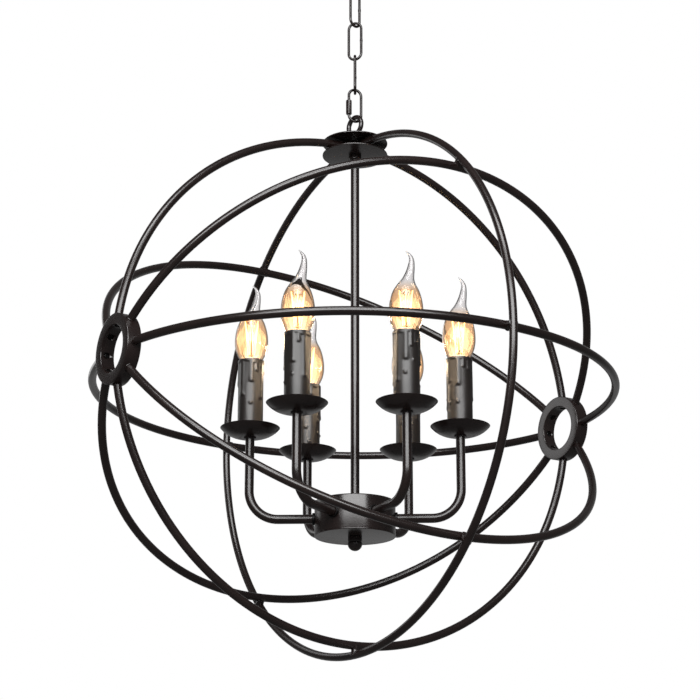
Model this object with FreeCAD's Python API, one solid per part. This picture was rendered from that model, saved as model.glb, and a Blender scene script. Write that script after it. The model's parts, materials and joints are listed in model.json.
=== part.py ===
import FreeCAD, Part
import math
import os

from FreeCAD import Vector

# Orb chandelier: a cage of bent round bars round a six-candle light, hung from a ceiling fitting
# by a short chain. Millimetres, +Z up. The origin is the centre of the ceiling strap, on the ceiling.
# X runs through the two hub collars of the cage, and the outer ring lies in the YZ plane.

# Clearances
gap = 0.3                     # between two pieces of different bodies
hook_gap = 0.6                # between two loops that hang in each other
fit_gap = 0.2                 # between a bar or shank and its hole

# Faces round the bars, turned pieces and small fasteners
bar_sides = 8
turned_sides = 12
bulb_sides = 10
plate_sides = 24
collar_sides = 30
fastener_sides = 6

# Ceiling fitting
canopy_radius = 62.0
canopy_height = 24.0
canopy_wall = 1.2
canopy_lip_height = 4.0
canopy_foot_radius = 18.0
strap_length = 96.0
strap_width = 20.0
strap_thickness = 2.0
strap_drop = 7.0              # how far the middle of the strap stands off the ceiling
strap_pad_length = 20.0       # length of each end that lies on the ceiling
strap_slope_length = 8.0
strap_hole_spacing = 76.0
strap_hole_radius = 2.6
nipple_radius = 4.8
nipple_bore_radius = 3.0
nipple_nut_radius = 8.5
nipple_nut_height = 4.0

# Loops at the two ends of the chain
canopy_loop_radius = 13.0     # outside of the ring
canopy_loop_wire = 5.0
canopy_boss_radius = 7.0
canopy_boss_height = 8.0
hanging_loop_radius = 12.5
hanging_loop_wire = 5.2
hanging_boss_radius = 6.8
hanging_boss_height = 10.0
boss_bite = 2.0               # how far each ring is sunk in its boss

# Chain
link_length = 46.6            # outside
link_width = 17.2
link_wire = 2.9
quick_link_length = 40.3
quick_link_width = 17.0
quick_link_wire = 3.0
quick_nut_length = 16.5
quick_nut_radius = 3.1
quick_nut_height = 0.5        # height of the nut's foot above the lower bow's end
quick_nut_edge = 1.0
quick_link_slit = 4.2         # opening in the strand, covered by the nut
quick_link_slit_height = 0.8  # above the nut's foot

# Turn of each loop about the plumb line, in degrees from X
canopy_loop_turn = -75.0
link_turns = (14.0, -50.0, 56.0)
quick_link_turn = 166.0
hanging_loop_turn = -80.0

# Orb
bar_diameter = 8.5
ring_radius = 274.5           # to the bar's centre
crossing_gap = 0.8            # between the ring and an arc, filled by the weld
arc_flattening = 12.0         # how much wider an arc is bent than its distance from the orb's centre
arc_count = 8
arc_stations = 16
ring_stations = 32
weld_radius = 3.6
weld_length = 4.6

# Hub collars
collar_radius = 35.5
collar_bore_radius = 24.2
collar_width = 15.0
bar_end_offset = 0.2915       # of the bars' ends from the middle of the collar, along X
socket_depth = 5.0
screw_head_radius = 2.8
screw_head_top_radius = 2.3
screw_head_height = 1.8
screw_shank_radius = 1.6
screw_pocket_radius = 3.2     # round the head, sunk in the bore
screw_pocket_depth = 2.2

# Cap where the top arcs and the ring meet
cap_disc_radius = 35.4
cap_disc_thickness = 1.4
cap_clearance = 1.4           # under the bars, which fall away from the middle of the cap
cap_hub_radius = 10.0
cap_bolt_radius = 4.0
coupling_radius = 7.1
coupling_height = 5.2
coupling_edge = 1.0

# Stem and body
stem_radius = 4.6
stem_bore_radius = 3.2
stem_seat = 3.2               # how far the stem enters the coupling
body_radius = 41.5
body_height = 36.3            # with its cover
body_wall = 1.5
body_edge = 1.5
cover_thickness = 1.5
body_bottom = 154.1           # below the orb's centre
stem_end_depth = 10.0         # stem's end below the top of the body
lock_nut_radius = 8.5
lock_nut_height = 5.0
rod_radius = 3.0
finial_radius = 7.2
finial_length = 14.5
finial_neck_radius = 4.6
finial_neck_height = 1.6
finial_shoulder = 1.0
finial_barrel_length = 5.1
finial_end_radius = 1.4       # flat at its lowest point
finial_bands = 4
finial_bore_depth = 8.0
wire_cap_radius = 4.5
wire_cap_height = 14.0
wire_cap_tip_radius = 2.7
wire_cap_skirt = 8.4          # straight part of its height
wire_cap_count = 3

# Arms
arm_count = 6
arm_turn = 25.5               # first arm, in degrees from X
arm_radius = 4.75
arm_height = 18.9             # above the underside of the body
arm_inner_end = 34.0
arm_bend_radius = 30.0
arm_bend_stations = 5
arm_collar_radius = 6.5
arm_collar_length = 2.4
candle_circle_radius = 109.0

# Candles
dish_radius = 31.0
dish_depth = 10.5
dish_wall = 1.0
dish_flat_radius = 9.0
dish_bands = 2
dish_rim = 38.0               # below the orb's centre
spigot_radius = 3.8           # end of the arm, through the dish
spigot_length = 5.0
sleeve_radius = 13.75
sleeve_wall = 1.2
sleeve_height = 82.0
holder_radius = 11.0
holder_recess = 3.0           # top of the holder below the top of the sleeve
cap_radius = 6.9
cap_length = 24.0
cap_shoulder_radius = 4.2
cap_shoulder_height = 2.0
contact_radius = 2.4
glass_radius = 17.5
glass_length = 86.0
glass_wall = 0.8
glass_sink = 2.5              # foot of the glass below the top of the sleeve
# Bulb outline as shares of the glass radius, of the length and of the lean, from the foot to the tip
bulb_shape = ((0.56, 0.00, 0.0), (0.84, 0.10, 0.0), (1.00, 0.27, 0.0), (0.94, 0.42, 0.0), (0.66, 0.56, 0.0),
              (0.32, 0.68, 0.5), (0.19, 0.79, 0.85), (0.08, 0.90, 1.0), (0.04, 1.00, 0.1))
bulb_bore_rows = 5            # rows of the outline that the hollow follows
bulb_turn = -32.6             # side to which the curled tips lean, in degrees from X
tip_lean = 6.0
filament_height = 40.0
filament_half_width = 4.0
filament_wire = 0.7

# The arcs lie inside the ring
arc_radius = ring_radius - bar_diameter - crossing_gap
arc_bend_radius = arc_radius + arc_flattening

# Heights worked out from the sizes above
strap_underside = -strap_drop - strap_thickness
canopy_loop_centre = -canopy_height - canopy_boss_height + boss_bite - canopy_loop_radius
canopy_loop_inside = canopy_loop_centre - canopy_loop_radius + canopy_loop_wire


def next_top(inside_bottom, wire):
    """Top of a loop that hangs on the inside of the one above."""
    return inside_bottom + hook_gap + wire


link_tops = []
hook = canopy_loop_inside
for turn in link_turns:
    link_tops.append(next_top(hook, link_wire))
    hook = link_tops[-1] - link_length + link_wire
quick_link_top = next_top(hook, quick_link_wire)
quick_link_inside = quick_link_top - quick_link_length + quick_link_wire
hanging_loop_top = next_top(quick_link_inside, hanging_loop_wire)
hanging_loop_centre = hanging_loop_top - hanging_loop_radius
upper_disc_top = hanging_loop_centre - hanging_loop_radius + boss_bite - hanging_boss_height
upper_disc_bottom = upper_disc_top - cap_disc_thickness
ring_apex = upper_disc_bottom - fit_gap - bar_diameter / 2
orb_centre = ring_apex - ring_radius
cap_fall = ring_radius - math.sqrt(ring_radius ** 2 - cap_disc_radius ** 2)
lower_disc_top = ring_apex - cap_fall - bar_diameter / 2 - cap_clearance
lower_disc_bottom = lower_disc_top - cap_disc_thickness
coupling_bottom = lower_disc_bottom - coupling_height
cover_bottom = orb_centre - body_bottom
cover_top = cover_bottom + cover_thickness
body_top = cover_bottom + body_height
stem_end = body_top - stem_end_depth
arm_level = cover_bottom + arm_height
dish_top = orb_centre - dish_rim
dish_bottom = dish_top - dish_depth
dish_floor = dish_bottom + dish_wall
sleeve_top = dish_floor + sleeve_height
holder_top = sleeve_top - holder_recess
glass_foot = sleeve_top - glass_sink
holder_bore_radius = cap_radius + gap
holder_bore_floor = glass_foot - cap_length - gap


# Shapes from flat faces

def flat_face(points):
    return Part.Face(Part.makePolygon(points + points[:1]))


def skin(loops, closed=False):
    """Solid through a row of point loops, closed round on itself or capped at both ends."""
    following = loops[1:] + loops[:1] if closed else loops[1:]
    faces = []
    for first, second in zip(loops, following):
        for i in range(len(first)):
            j = (i + 1) % len(first)
            faces.append(flat_face([first[i], first[j], second[j], second[i]]))
    if not closed:
        faces.append(flat_face(loops[0]))
        faces.append(flat_face(loops[-1]))
    solid = Part.makeSolid(Part.makeShell(faces))
    if solid.Volume < 0:
        solid.reverse()
    return solid


def section(centre, across, upward, radius, sides):
    """Regular polygon round a centre, in the plane of two unit vectors."""
    points = []
    for i in range(sides):
        angle = 2 * math.pi * (i + 0.5) / sides
        points.append(centre + across * (radius * math.cos(angle)) + upward * (radius * math.sin(angle)))
    return points


def round_up(radius, sides):
    """Corner radius of a polygon with the same area as a circle."""
    return radius * math.sqrt(2 * math.pi / (sides * math.sin(2 * math.pi / sides)))


def direction(turn):
    return Vector(math.cos(math.radians(turn)), math.sin(math.radians(turn)), 0)


up = Vector(0, 0, 1)


def turned(profile, sides, base=Vector(0, 0, 0), axis=up, across=Vector(1, 0, 0)):
    """Solid turned on an axis from (radius, height) pairs, or (radius, height, sideways lean)."""
    beside = axis.cross(across)
    loops = []
    for point in profile:
        lean = point[2] if len(point) > 2 else 0
        centre = base + axis * point[1] + across * lean
        loops.append(section(centre, across, beside, point[0], sides))
    return skin(loops)


def turned_hollow(profile, sides, base=Vector(0, 0, 0), axis=up, across=Vector(1, 0, 0)):
    """Open tube, ring or bowl turned on an axis from a closed outline of (radius, height) pairs."""
    loops = []
    for outward in section(Vector(0, 0, 0), across, axis.cross(across), 1.0, sides):
        loops.append([base + outward * r + axis * z for r, z in profile])
    return skin(loops, closed=True)


def along(path, across, radius, sides, closed=False):
    """Round bar along a flat path of (point, tangent) pairs; across is the normal of its plane."""
    loops = [section(point, across, tangent.cross(across), radius, sides) for point, tangent in path]
    return skin(loops, closed)


def save(name, shapes):
    shape = shapes[0] if len(shapes) == 1 else Part.makeCompound(shapes)
    shape.exportStep("parts/" + name + ".step")


# Loops and links

def loop_path(top, length, width, wire, turn, bow_steps=6, opening=None):
    """Centre line of an upright link: two half circles and two straight strands.
    An opening gives the lowest and highest point of a gap in the strand on the turn's side."""
    side = direction(turn)
    bow = (width - wire) / 2
    upper = top - wire / 2 - bow
    lower = top - length + wire / 2 + bow
    path = []
    for centre, start in ((upper, 0.0), (lower, math.pi)):
        for k in range(bow_steps + 1):
            angle = start + math.pi * k / bow_steps
            point = side * (bow * math.cos(angle)) + up * (centre + bow * math.sin(angle))
            path.append((point, side * (-math.sin(angle)) + up * math.cos(angle)))
    if opening:
        path.insert(0, (side * bow + up * opening[1], up))
        path.append((side * bow + up * opening[0], up))
    return path


def chain_link(top, turn):
    path = loop_path(top, link_length, link_width, link_wire, turn)
    return along(path, up.cross(direction(turn)), round_up(link_wire / 2, bar_sides),
                 bar_sides, closed=True)


def quick_link_foot():
    """Lower end of the quick link's straight strands."""
    bow = (quick_link_width - quick_link_wire) / 2
    return quick_link_top - quick_link_length + quick_link_wire / 2 + bow


def quick_nut_span():
    low = quick_link_foot() + quick_nut_height
    return low, low + quick_nut_length


def quick_link():
    slit_foot = quick_nut_span()[0] + quick_link_slit_height
    opening = (slit_foot, slit_foot + quick_link_slit)
    path = loop_path(quick_link_top, quick_link_length, quick_link_width, quick_link_wire,
                     quick_link_turn, opening=opening)
    return along(path, up.cross(direction(quick_link_turn)), round_up(quick_link_wire / 2, bar_sides),
                 bar_sides)


def quick_link_nut():
    low, high = quick_nut_span()
    edge = quick_nut_edge
    bore = round_up(quick_link_wire / 2, bar_sides) + fit_gap
    outline = [(bore, low), (quick_nut_radius - edge / 2, low), (quick_nut_radius, low + edge),
               (quick_nut_radius, high - edge), (quick_nut_radius - edge / 2, high), (bore, high)]
    strand = direction(quick_link_turn) * ((quick_link_width - quick_link_wire) / 2)
    return turned_hollow(outline, bar_sides, strand)


def ring_loop(centre, radius, wire, turn):
    side = direction(turn)
    middle = radius - wire / 2
    path = []
    for k in range(turned_sides):
        angle = 2 * math.pi * k / turned_sides
        point = side * (middle * math.cos(angle)) + up * (centre + middle * math.sin(angle))
        path.append((point, side * (-math.sin(angle)) + up * math.cos(angle)))
    return along(path, up.cross(side), wire / 2, bar_sides, closed=True)


# Ceiling fitting

def canopy():
    """Shallow round cover, hollow and open to the ceiling, with a hole for the nipple."""
    hole = nipple_radius + fit_gap
    bands = 3
    outer = [(canopy_radius, 0.0), (canopy_radius, -canopy_lip_height)]
    for k in range(1, bands + 1):
        angle = math.pi / 2 * k / bands
        r = canopy_foot_radius + (canopy_radius - canopy_foot_radius) * math.cos(angle)
        z = -canopy_lip_height - (canopy_height - canopy_lip_height) * math.sin(angle)
        outer.append((r, z))
    inner = [(max(r - canopy_wall, hole), min(z + canopy_wall, 0.0)) for r, z in reversed(outer)]
    inner[-1] = (canopy_radius - canopy_wall, 0.0)
    outline = outer + [(hole, -canopy_height), (hole, -canopy_height + canopy_wall)] + inner
    return turned_hollow(outline, plate_sides)


def mounting_strap():
    """Pressed steel strap whose ends lie on the ceiling and whose middle carries the nipple."""
    end = strap_length / 2
    pad = end - strap_pad_length
    slope = pad - strap_slope_length
    t = strap_thickness
    top = [(-end, 0), (-pad, 0), (-slope, -strap_drop), (slope, -strap_drop), (pad, 0), (end, 0)]
    points = [Vector(x, -strap_width / 2, z) for x, z in top]
    points += [Vector(x, -strap_width / 2, z - t) for x, z in reversed(top)]
    strap = flat_face(points).extrude(Vector(0, strap_width, 0))
    for x in (-strap_hole_spacing / 2, strap_hole_spacing / 2):
        strap = strap.cut(Part.makeCylinder(strap_hole_radius, 4 * t, Vector(x, 0, -2 * t)))
    hole_radius = nipple_radius + fit_gap
    hole = turned([(hole_radius, strap_underside - t), (hole_radius, strap_underside + 3 * t)], bar_sides)
    return strap.cut(hole)


def nipple():
    """Threaded tube from the strap, through the canopy, into the canopy loop."""
    low = -canopy_height - canopy_boss_height / 2
    high = -strap_drop + nipple_nut_height
    outline = [(nipple_bore_radius, low), (nipple_radius, low), (nipple_radius, high),
               (nipple_bore_radius, high)]
    return turned_hollow(outline, bar_sides)


def nut(low, height, radius, thread_radius):
    """Hexagon nut whose hole clears the thread at its flats."""
    bore = (thread_radius + fit_gap) / math.cos(math.pi / fastener_sides)
    outline = [(bore, low), (radius, low), (radius, low + height), (bore, low + height)]
    return turned_hollow(outline, fastener_sides)


def canopy_loop():
    ring = ring_loop(canopy_loop_centre, canopy_loop_radius, canopy_loop_wire, canopy_loop_turn)
    top = -canopy_height
    boss = turned([(canopy_boss_radius, top - canopy_boss_height), (canopy_boss_radius, top)], turned_sides)
    socket = turned([(nipple_radius + fit_gap, top - canopy_boss_height / 2 - fit_gap),
                     (nipple_radius + fit_gap, top)], bar_sides)
    return ring.fuse(boss).cut(socket)


# Orb cage

def arc_direction(k):
    """Unit vector from the hub axis to the middle of arc k, counted from the top towards -Y."""
    angle = 2 * math.pi * k / arc_count
    return Vector(0, -math.sin(angle), math.cos(angle))


def arc_apex(k):
    """Distance from the orb's centre to the middle of arc k."""
    return ring_radius if k == 0 else arc_radius


def bend_angle(apex, height):
    """Angle along the bend at which an arc comes down to a distance from the hub axis."""
    return math.acos((height + arc_bend_radius - apex) / arc_bend_radius)


bar_end = collar_radius - socket_depth + fit_gap
collar_centre = arc_bend_radius * math.sin(bend_angle(arc_radius, bar_end)) - bar_end_offset
top_arc_start = math.asin((cap_hub_radius + fit_gap) / arc_bend_radius)


def arc_path(k, side):
    """Points and tangents of arc k, ending in the collar on one side. Arc 0 is cut at the cap."""
    apex = arc_apex(k)
    end = bend_angle(apex, bar_end)
    start = top_arc_start if k == 0 else -end
    stations = arc_stations // 2 if k == 0 else arc_stations
    outward = arc_direction(k)
    hub_axis = Vector(side, 0, 0)
    centre = Vector(0, 0, orb_centre) - outward * (arc_bend_radius - apex)
    path = []
    for i in range(stations + 1):
        angle = start + (end - start) * i / stations
        spoke = outward * math.cos(angle) + hub_axis * math.sin(angle)
        tangent = hub_axis * math.cos(angle) - outward * math.sin(angle)
        path.append((centre + spoke * arc_bend_radius, tangent))
    return path


def arc(k, side=1):
    across = Vector(1, 0, 0).cross(arc_direction(k))
    return along(arc_path(k, side), across, round_up(bar_diameter / 2, bar_sides), bar_sides)


def ring_point(angle):
    """Point and tangent on the outer ring; the angle starts at the cap and turns towards -Y."""
    outward = Vector(0, -math.sin(angle), math.cos(angle))
    return Vector(0, 0, orb_centre) + outward * ring_radius, Vector(0, -math.cos(angle), -math.sin(angle))


def outer_ring():
    start = math.asin((cap_hub_radius + fit_gap) / ring_radius)
    span = 2 * math.pi - 2 * start
    path = [ring_point(start + span * k / ring_stations) for k in range(ring_stations + 1)]
    return along(path, Vector(1, 0, 0), round_up(bar_diameter / 2, bar_sides), bar_sides)


def ring_weld(k, ring, bar):
    outward = arc_direction(k)
    middle = (ring_radius + arc_radius) / 2
    base = Vector(0, 0, orb_centre) + outward * (middle - weld_length / 2)
    plug = turned([(weld_radius, 0), (weld_radius, weld_length)], fastener_sides, base, outward)
    return plug.cut(ring).cut(bar)


# Hub collars

def socket_tool(side, k):
    """Last stretch of a bar grown by its clearance, to cut its socket in a collar."""
    before, last = arc_path(k, side)[-2:]
    onward = (last[0] - before[0]).normalize() * (2 * fit_gap)
    across = Vector(1, 0, 0).cross(arc_direction(k))
    grown = round_up(bar_diameter / 2, bar_sides) + fit_gap
    return along([before, (last[0] + onward, last[1])], across, grown, bar_sides)


screw_seat_radius = collar_bore_radius + screw_pocket_depth


def screw_line(side, k):
    """Point on the hub axis, level with the bar end of arc k."""
    x = arc_bend_radius * math.sin(bend_angle(arc_apex(k), bar_end))
    return Vector(side * x, 0, orb_centre)


def hub_collar(side):
    start = Vector(side * collar_centre - collar_width / 2, 0, orb_centre)
    axis = Vector(1, 0, 0)
    rim = round_up(collar_radius, collar_sides)
    bore = round_up(collar_bore_radius, collar_sides)
    outline = [(bore, 0), (rim, 0), (rim, collar_width), (bore, collar_width)]
    collar = turned_hollow(outline, collar_sides, start, axis, Vector(0, 1, 0))
    for k in range(arc_count):
        hole_radius = round_up(screw_shank_radius, fastener_sides) + fit_gap
        hole = turned([(hole_radius, collar_bore_radius - 1), (hole_radius, collar_radius - 1)],
                      fastener_sides, screw_line(side, k), arc_direction(k), axis)
        profile = [(screw_pocket_radius, collar_bore_radius - 1), (screw_pocket_radius, screw_seat_radius)]
        pocket = turned(profile, fastener_sides, screw_line(side, k), arc_direction(k), axis)
        collar = collar.cut(socket_tool(side, k)).cut(hole).cut(pocket)
    return collar


def hub_screws(side):
    """Screws from pockets in the bore of a collar into the ends of the bars."""
    seat = screw_seat_radius
    profile = [(screw_head_top_radius, seat - screw_head_height), (screw_head_radius, seat),
               (screw_shank_radius, seat), (screw_shank_radius, bar_end - fit_gap)]
    axis = Vector(1, 0, 0)
    screws = []
    for k in range(arc_count):
        screws.append(turned(profile, fastener_sides, screw_line(side, k), arc_direction(k), axis))
    return screws


# Cap and stem

def cap_disc(bottom):
    hole = cap_bolt_radius + fit_gap
    top = bottom + cap_disc_thickness
    outline = [(hole, bottom), (cap_disc_radius, bottom), (cap_disc_radius, top), (hole, top)]
    return turned_hollow(outline, plate_sides)


def cap_hub():
    """Spacer between the two discs, with the ends of the ring and of the top arcs round it."""
    bore = cap_bolt_radius + fit_gap
    outline = [(bore, lower_disc_top), (cap_hub_radius, lower_disc_top), (cap_hub_radius, upper_disc_bottom),
               (bore, upper_disc_bottom)]
    return turned_hollow(outline, turned_sides)


def hanging_loop():
    """Ring, boss and the bolt that holds the cap together."""
    ring = ring_loop(hanging_loop_centre, hanging_loop_radius, hanging_loop_wire, hanging_loop_turn)
    boss_top = upper_disc_top + hanging_boss_height
    boss = turned([(hanging_boss_radius, upper_disc_top), (hanging_boss_radius, boss_top)], turned_sides)
    bolt_end = coupling_bottom + stem_seat + gap
    bolt = turned([(cap_bolt_radius, bolt_end), (cap_bolt_radius, upper_disc_top + 1)], turned_sides)
    return ring.fuse(boss).fuse(bolt)


def stem_coupling():
    low = coupling_bottom
    step = low + stem_seat
    top = lower_disc_bottom
    bolt = cap_bolt_radius + fit_gap
    stem = stem_radius + fit_gap
    outline = [(stem, low), (coupling_radius - coupling_edge, low), (coupling_radius, low + coupling_edge),
               (coupling_radius, top), (bolt, top), (bolt, step), (stem, step)]
    return turned_hollow(outline, turned_sides)


def stem():
    bore = stem_bore_radius
    high = coupling_bottom + stem_seat
    outline = [(bore, stem_end), (stem_radius, stem_end), (stem_radius, high), (bore, high)]
    return turned_hollow(outline, turned_sides)


# Body

def arm_outward(i):
    return direction(arm_turn + 360.0 * i / arm_count)


def body_canister():
    """Drum with a closed top, open below, with a hole for the stem and one for each arm."""
    hole = stem_radius + fit_gap
    r = body_radius
    ceiling = body_top - body_wall
    outline = [(hole, body_top), (r - body_edge, body_top), (r, body_top - body_edge), (r, cover_top),
               (r - body_wall, cover_top), (r - body_wall, ceiling), (hole, ceiling)]
    drum = turned_hollow(outline, plate_sides)
    for i in range(arm_count):
        radius = round_up(arm_radius, bar_sides) + fit_gap
        profile = [(radius, arm_inner_end), (radius, body_radius + 1)]
        drum = drum.cut(turned(profile, bar_sides, up * arm_level, arm_outward(i), up))
    return drum


def body_cover():
    hole = rod_radius + fit_gap
    outline = [(hole, cover_bottom), (body_radius, cover_bottom), (body_radius, cover_top), (hole, cover_top)]
    return turned_hollow(outline, plate_sides)


def centre_rod():
    low = cover_bottom - finial_bore_depth + gap
    return turned([(rod_radius, low), (rod_radius, stem_end)], bar_sides)


def finial():
    """Cap nut with a neck, a straight barrel and a rounded end."""
    neck = cover_bottom - finial_neck_height
    profile = [(finial_neck_radius, cover_bottom), (finial_neck_radius, neck),
               (finial_radius, neck - finial_shoulder)]
    barrel_end = neck - finial_shoulder - finial_barrel_length
    round_length = barrel_end - (cover_bottom - finial_length)
    for k in range(finial_bands):
        angle = math.pi / 2 * k / finial_bands
        profile.append((finial_radius * math.cos(angle), barrel_end - round_length * math.sin(angle)))
    profile.append((finial_end_radius, cover_bottom - finial_length))
    hole = rod_radius + fit_gap
    bore = turned([(hole, cover_bottom - finial_bore_depth), (hole, cover_bottom)], bar_sides)
    return turned(profile, bulb_sides).cut(bore)


def wire_caps():
    """Screw-on connectors of the wiring, standing on the cover inside the body."""
    caps = []
    for i in range(wire_cap_count):
        base = direction(120.0 * i) * (body_radius / 2) + up * cover_top
        profile = [(wire_cap_radius, 0), (wire_cap_radius, wire_cap_skirt),
                   (wire_cap_tip_radius, wire_cap_height)]
        caps.append(turned(profile, fastener_sides, base))
    return caps


# Arms and candles

def arm(i):
    """Tube from the body, bent upright under its candle, with a spigot through the dish."""
    outward = arm_outward(i)
    bend_start = candle_circle_radius - arm_bend_radius
    path = [(outward * arm_inner_end + up * arm_level, outward)]
    for k in range(arm_bend_stations + 1):
        angle = math.pi / 2 * k / arm_bend_stations
        r = bend_start + arm_bend_radius * math.sin(angle)
        z = arm_level + arm_bend_radius * (1 - math.cos(angle))
        path.append((outward * r + up * z, outward * math.cos(angle) + up * math.sin(angle)))
    foot = outward * candle_circle_radius
    path.append((foot + up * dish_bottom, up))
    side = outward.cross(up)
    tube = along(path, side, round_up(arm_radius, bar_sides), bar_sides)
    profile = [(spigot_radius, dish_bottom), (spigot_radius, dish_bottom + dish_wall + spigot_length)]
    return tube.fuse(turned(profile, bar_sides, foot))


def arm_collar(i):
    """Washer-like nut round the arm where it leaves the body."""
    outward = arm_outward(i)
    bore_radius = round_up(arm_radius, bar_sides) + fit_gap
    blank = turned([(arm_collar_radius, body_radius), (arm_collar_radius, body_radius + arm_collar_length)],
                   bar_sides, up * arm_level, outward, up)
    bore = turned([(bore_radius, body_radius - 1), (bore_radius, body_radius + arm_collar_length + 1)],
                  bar_sides, up * arm_level, outward, up)
    return blank.cut(bore)


def candle_foot(i):
    return arm_outward(i) * candle_circle_radius


def dish_rows():
    """Underside of a dish from its flat to its rim, on a part of a ball."""
    run = dish_radius - dish_flat_radius
    ball = (run * run + dish_depth * dish_depth) / (2 * dish_depth)
    sweep = math.asin(min(run / ball, 1.0))
    rows = []
    for k in range(dish_bands + 1):
        angle = sweep * k / dish_bands
        rows.append((dish_flat_radius + ball * math.sin(angle), dish_bottom + ball * (1 - math.cos(angle))))
    return rows


def drip_dish(i):
    outer = dish_rows()
    hole = spigot_radius + fit_gap
    inner = [(r - dish_wall / 2, z + dish_wall) for r, z in outer[-2:0:-1]] + [(dish_flat_radius, dish_floor)]
    outline = [(hole, dish_bottom)] + outer + inner + [(hole, dish_floor)]
    return turned_hollow(outline, turned_sides, candle_foot(i))


def dish_seat(radius):
    """Height at which a tube of this radius stands on the slope of its dish."""
    row_radius, row_height = dish_rows()[1]
    climb = (row_height - dish_bottom) / (row_radius - dish_wall / 2 - dish_flat_radius)
    return dish_floor + climb * max(0.0, radius - dish_flat_radius) + fit_gap


def candle_sleeve(i):
    inside = sleeve_radius - sleeve_wall
    foot = dish_seat(sleeve_radius)
    outline = [(inside, foot), (sleeve_radius, foot), (sleeve_radius, sleeve_top), (inside, sleeve_top)]
    return turned_hollow(outline, turned_sides, candle_foot(i))


def lampholder(i):
    """Tall lampholder with a screw socket at its top, hidden in the sleeve."""
    hole = spigot_radius + fit_gap
    bore = holder_bore_radius
    foot = dish_seat(holder_radius)
    outline = [(hole, foot), (holder_radius, foot), (holder_radius, holder_top), (bore, holder_top),
               (bore, holder_bore_floor), (hole, holder_bore_floor)]
    return turned_hollow(outline, bar_sides, candle_foot(i))


def bulb_profile(shrink, rows):
    """Rows of the bulb's outline from its foot up; the tip leans out and curls back."""
    profile = []
    for share, height, lean in bulb_shape[:rows]:
        profile.append((share * glass_radius - shrink, glass_foot + height * glass_length, lean * tip_lean))
    return profile


def bulb_glass(i):
    lean = direction(bulb_turn)
    foot = candle_foot(i)
    outer = turned(bulb_profile(0.0, len(bulb_shape)), bulb_sides, foot, up, lean)
    inner = turned(bulb_profile(glass_wall, bulb_bore_rows), bulb_sides, foot + up * glass_wall, up, lean)
    return outer.cut(inner)


def bulb_base(i):
    """Screw cap with its contact, and in the glass the filament and its wires."""
    foot = candle_foot(i)
    low = glass_foot - cap_length
    shoulder = low + cap_shoulder_height
    outline = [(contact_radius, low), (cap_shoulder_radius, shoulder),
               (cap_radius, shoulder + cap_shoulder_height), (cap_radius, glass_foot)]
    cap = turned(outline, bar_sides, foot)
    side = direction(bulb_turn)
    post_foot = glass_foot + glass_wall
    wires = []
    for sign in (-1, 1):
        base = foot + side * (sign * filament_half_width) + up * post_foot
        wires.append(turned([(filament_wire, 0), (filament_wire, filament_height)], 4, base))
    return [cap] + wires


arc_names = {1: "arc_front_upper", 2: "arc_front_middle", 3: "arc_front_lower", 4: "arc_bottom",
             5: "arc_back_lower", 6: "arc_back_middle", 7: "arc_back_upper"}


def main():
    os.makedirs("parts", exist_ok=True)

    save("ceiling_canopy", [canopy()])
    save("mounting_strap", [mounting_strap()])
    save("canopy_nipple", [nipple()])
    save("nipple_nut", [nut(-strap_drop, nipple_nut_height, nipple_nut_radius, nipple_radius)])
    save("canopy_loop", [canopy_loop()])

    for k, top in enumerate(link_tops):
        save("chain_link_" + str(k + 1), [chain_link(top, link_turns[k])])
    save("quick_link", [quick_link()])
    save("quick_link_nut", [quick_link_nut()])

    save("hanging_loop", [hanging_loop()])
    save("upper_cap_disc", [cap_disc(upper_disc_bottom)])
    save("lower_cap_disc", [cap_disc(lower_disc_bottom)])
    save("cap_hub", [cap_hub()])
    save("stem_coupling", [stem_coupling()])
    save("stem", [stem()])

    ring = outer_ring()
    welds = []
    for k, name in arc_names.items():
        bar = arc(k)
        save(name, [bar])
        welds.append(ring_weld(k, ring, bar))
    save("arc_top_left", [arc(0, -1)])
    save("arc_top_right", [arc(0, 1)])
    save("outer_ring", [ring])
    save("ring_welds", welds)
    for side, name in ((-1, "left"), (1, "right")):
        save(name + "_hub_collar", [hub_collar(side)])
        save(name + "_hub_screws", hub_screws(side))

    save("body_canister", [body_canister()])
    save("body_cover", [body_cover()])
    lock_nut_foot = body_top - body_wall - lock_nut_height
    save("stem_lock_nut", [nut(lock_nut_foot, lock_nut_height, lock_nut_radius, stem_radius)])
    save("centre_rod", [centre_rod()])
    save("finial", [finial()])
    save("wire_caps", wire_caps())

    candles = range(arm_count)
    save("arm_collars", [arm_collar(i) for i in candles])
    save("drip_dishes", [drip_dish(i) for i in candles])
    save("candle_sleeves", [candle_sleeve(i) for i in candles])
    save("lampholders", [lampholder(i) for i in candles])
    for i in candles:
        save("arm_" + str(i + 1), [arm(i)])
        save("bulb_glass_" + str(i + 1), [bulb_glass(i)])
        save("bulb_base_" + str(i + 1), bulb_base(i))
    print("orb centre", round(orb_centre, 2), "lowest", round(orb_centre - ring_radius - bar_diameter / 2, 2))


main()
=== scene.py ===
import json
import math
import random

import bmesh
import bpy
from mathutils import Matrix, Vector, noise

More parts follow.
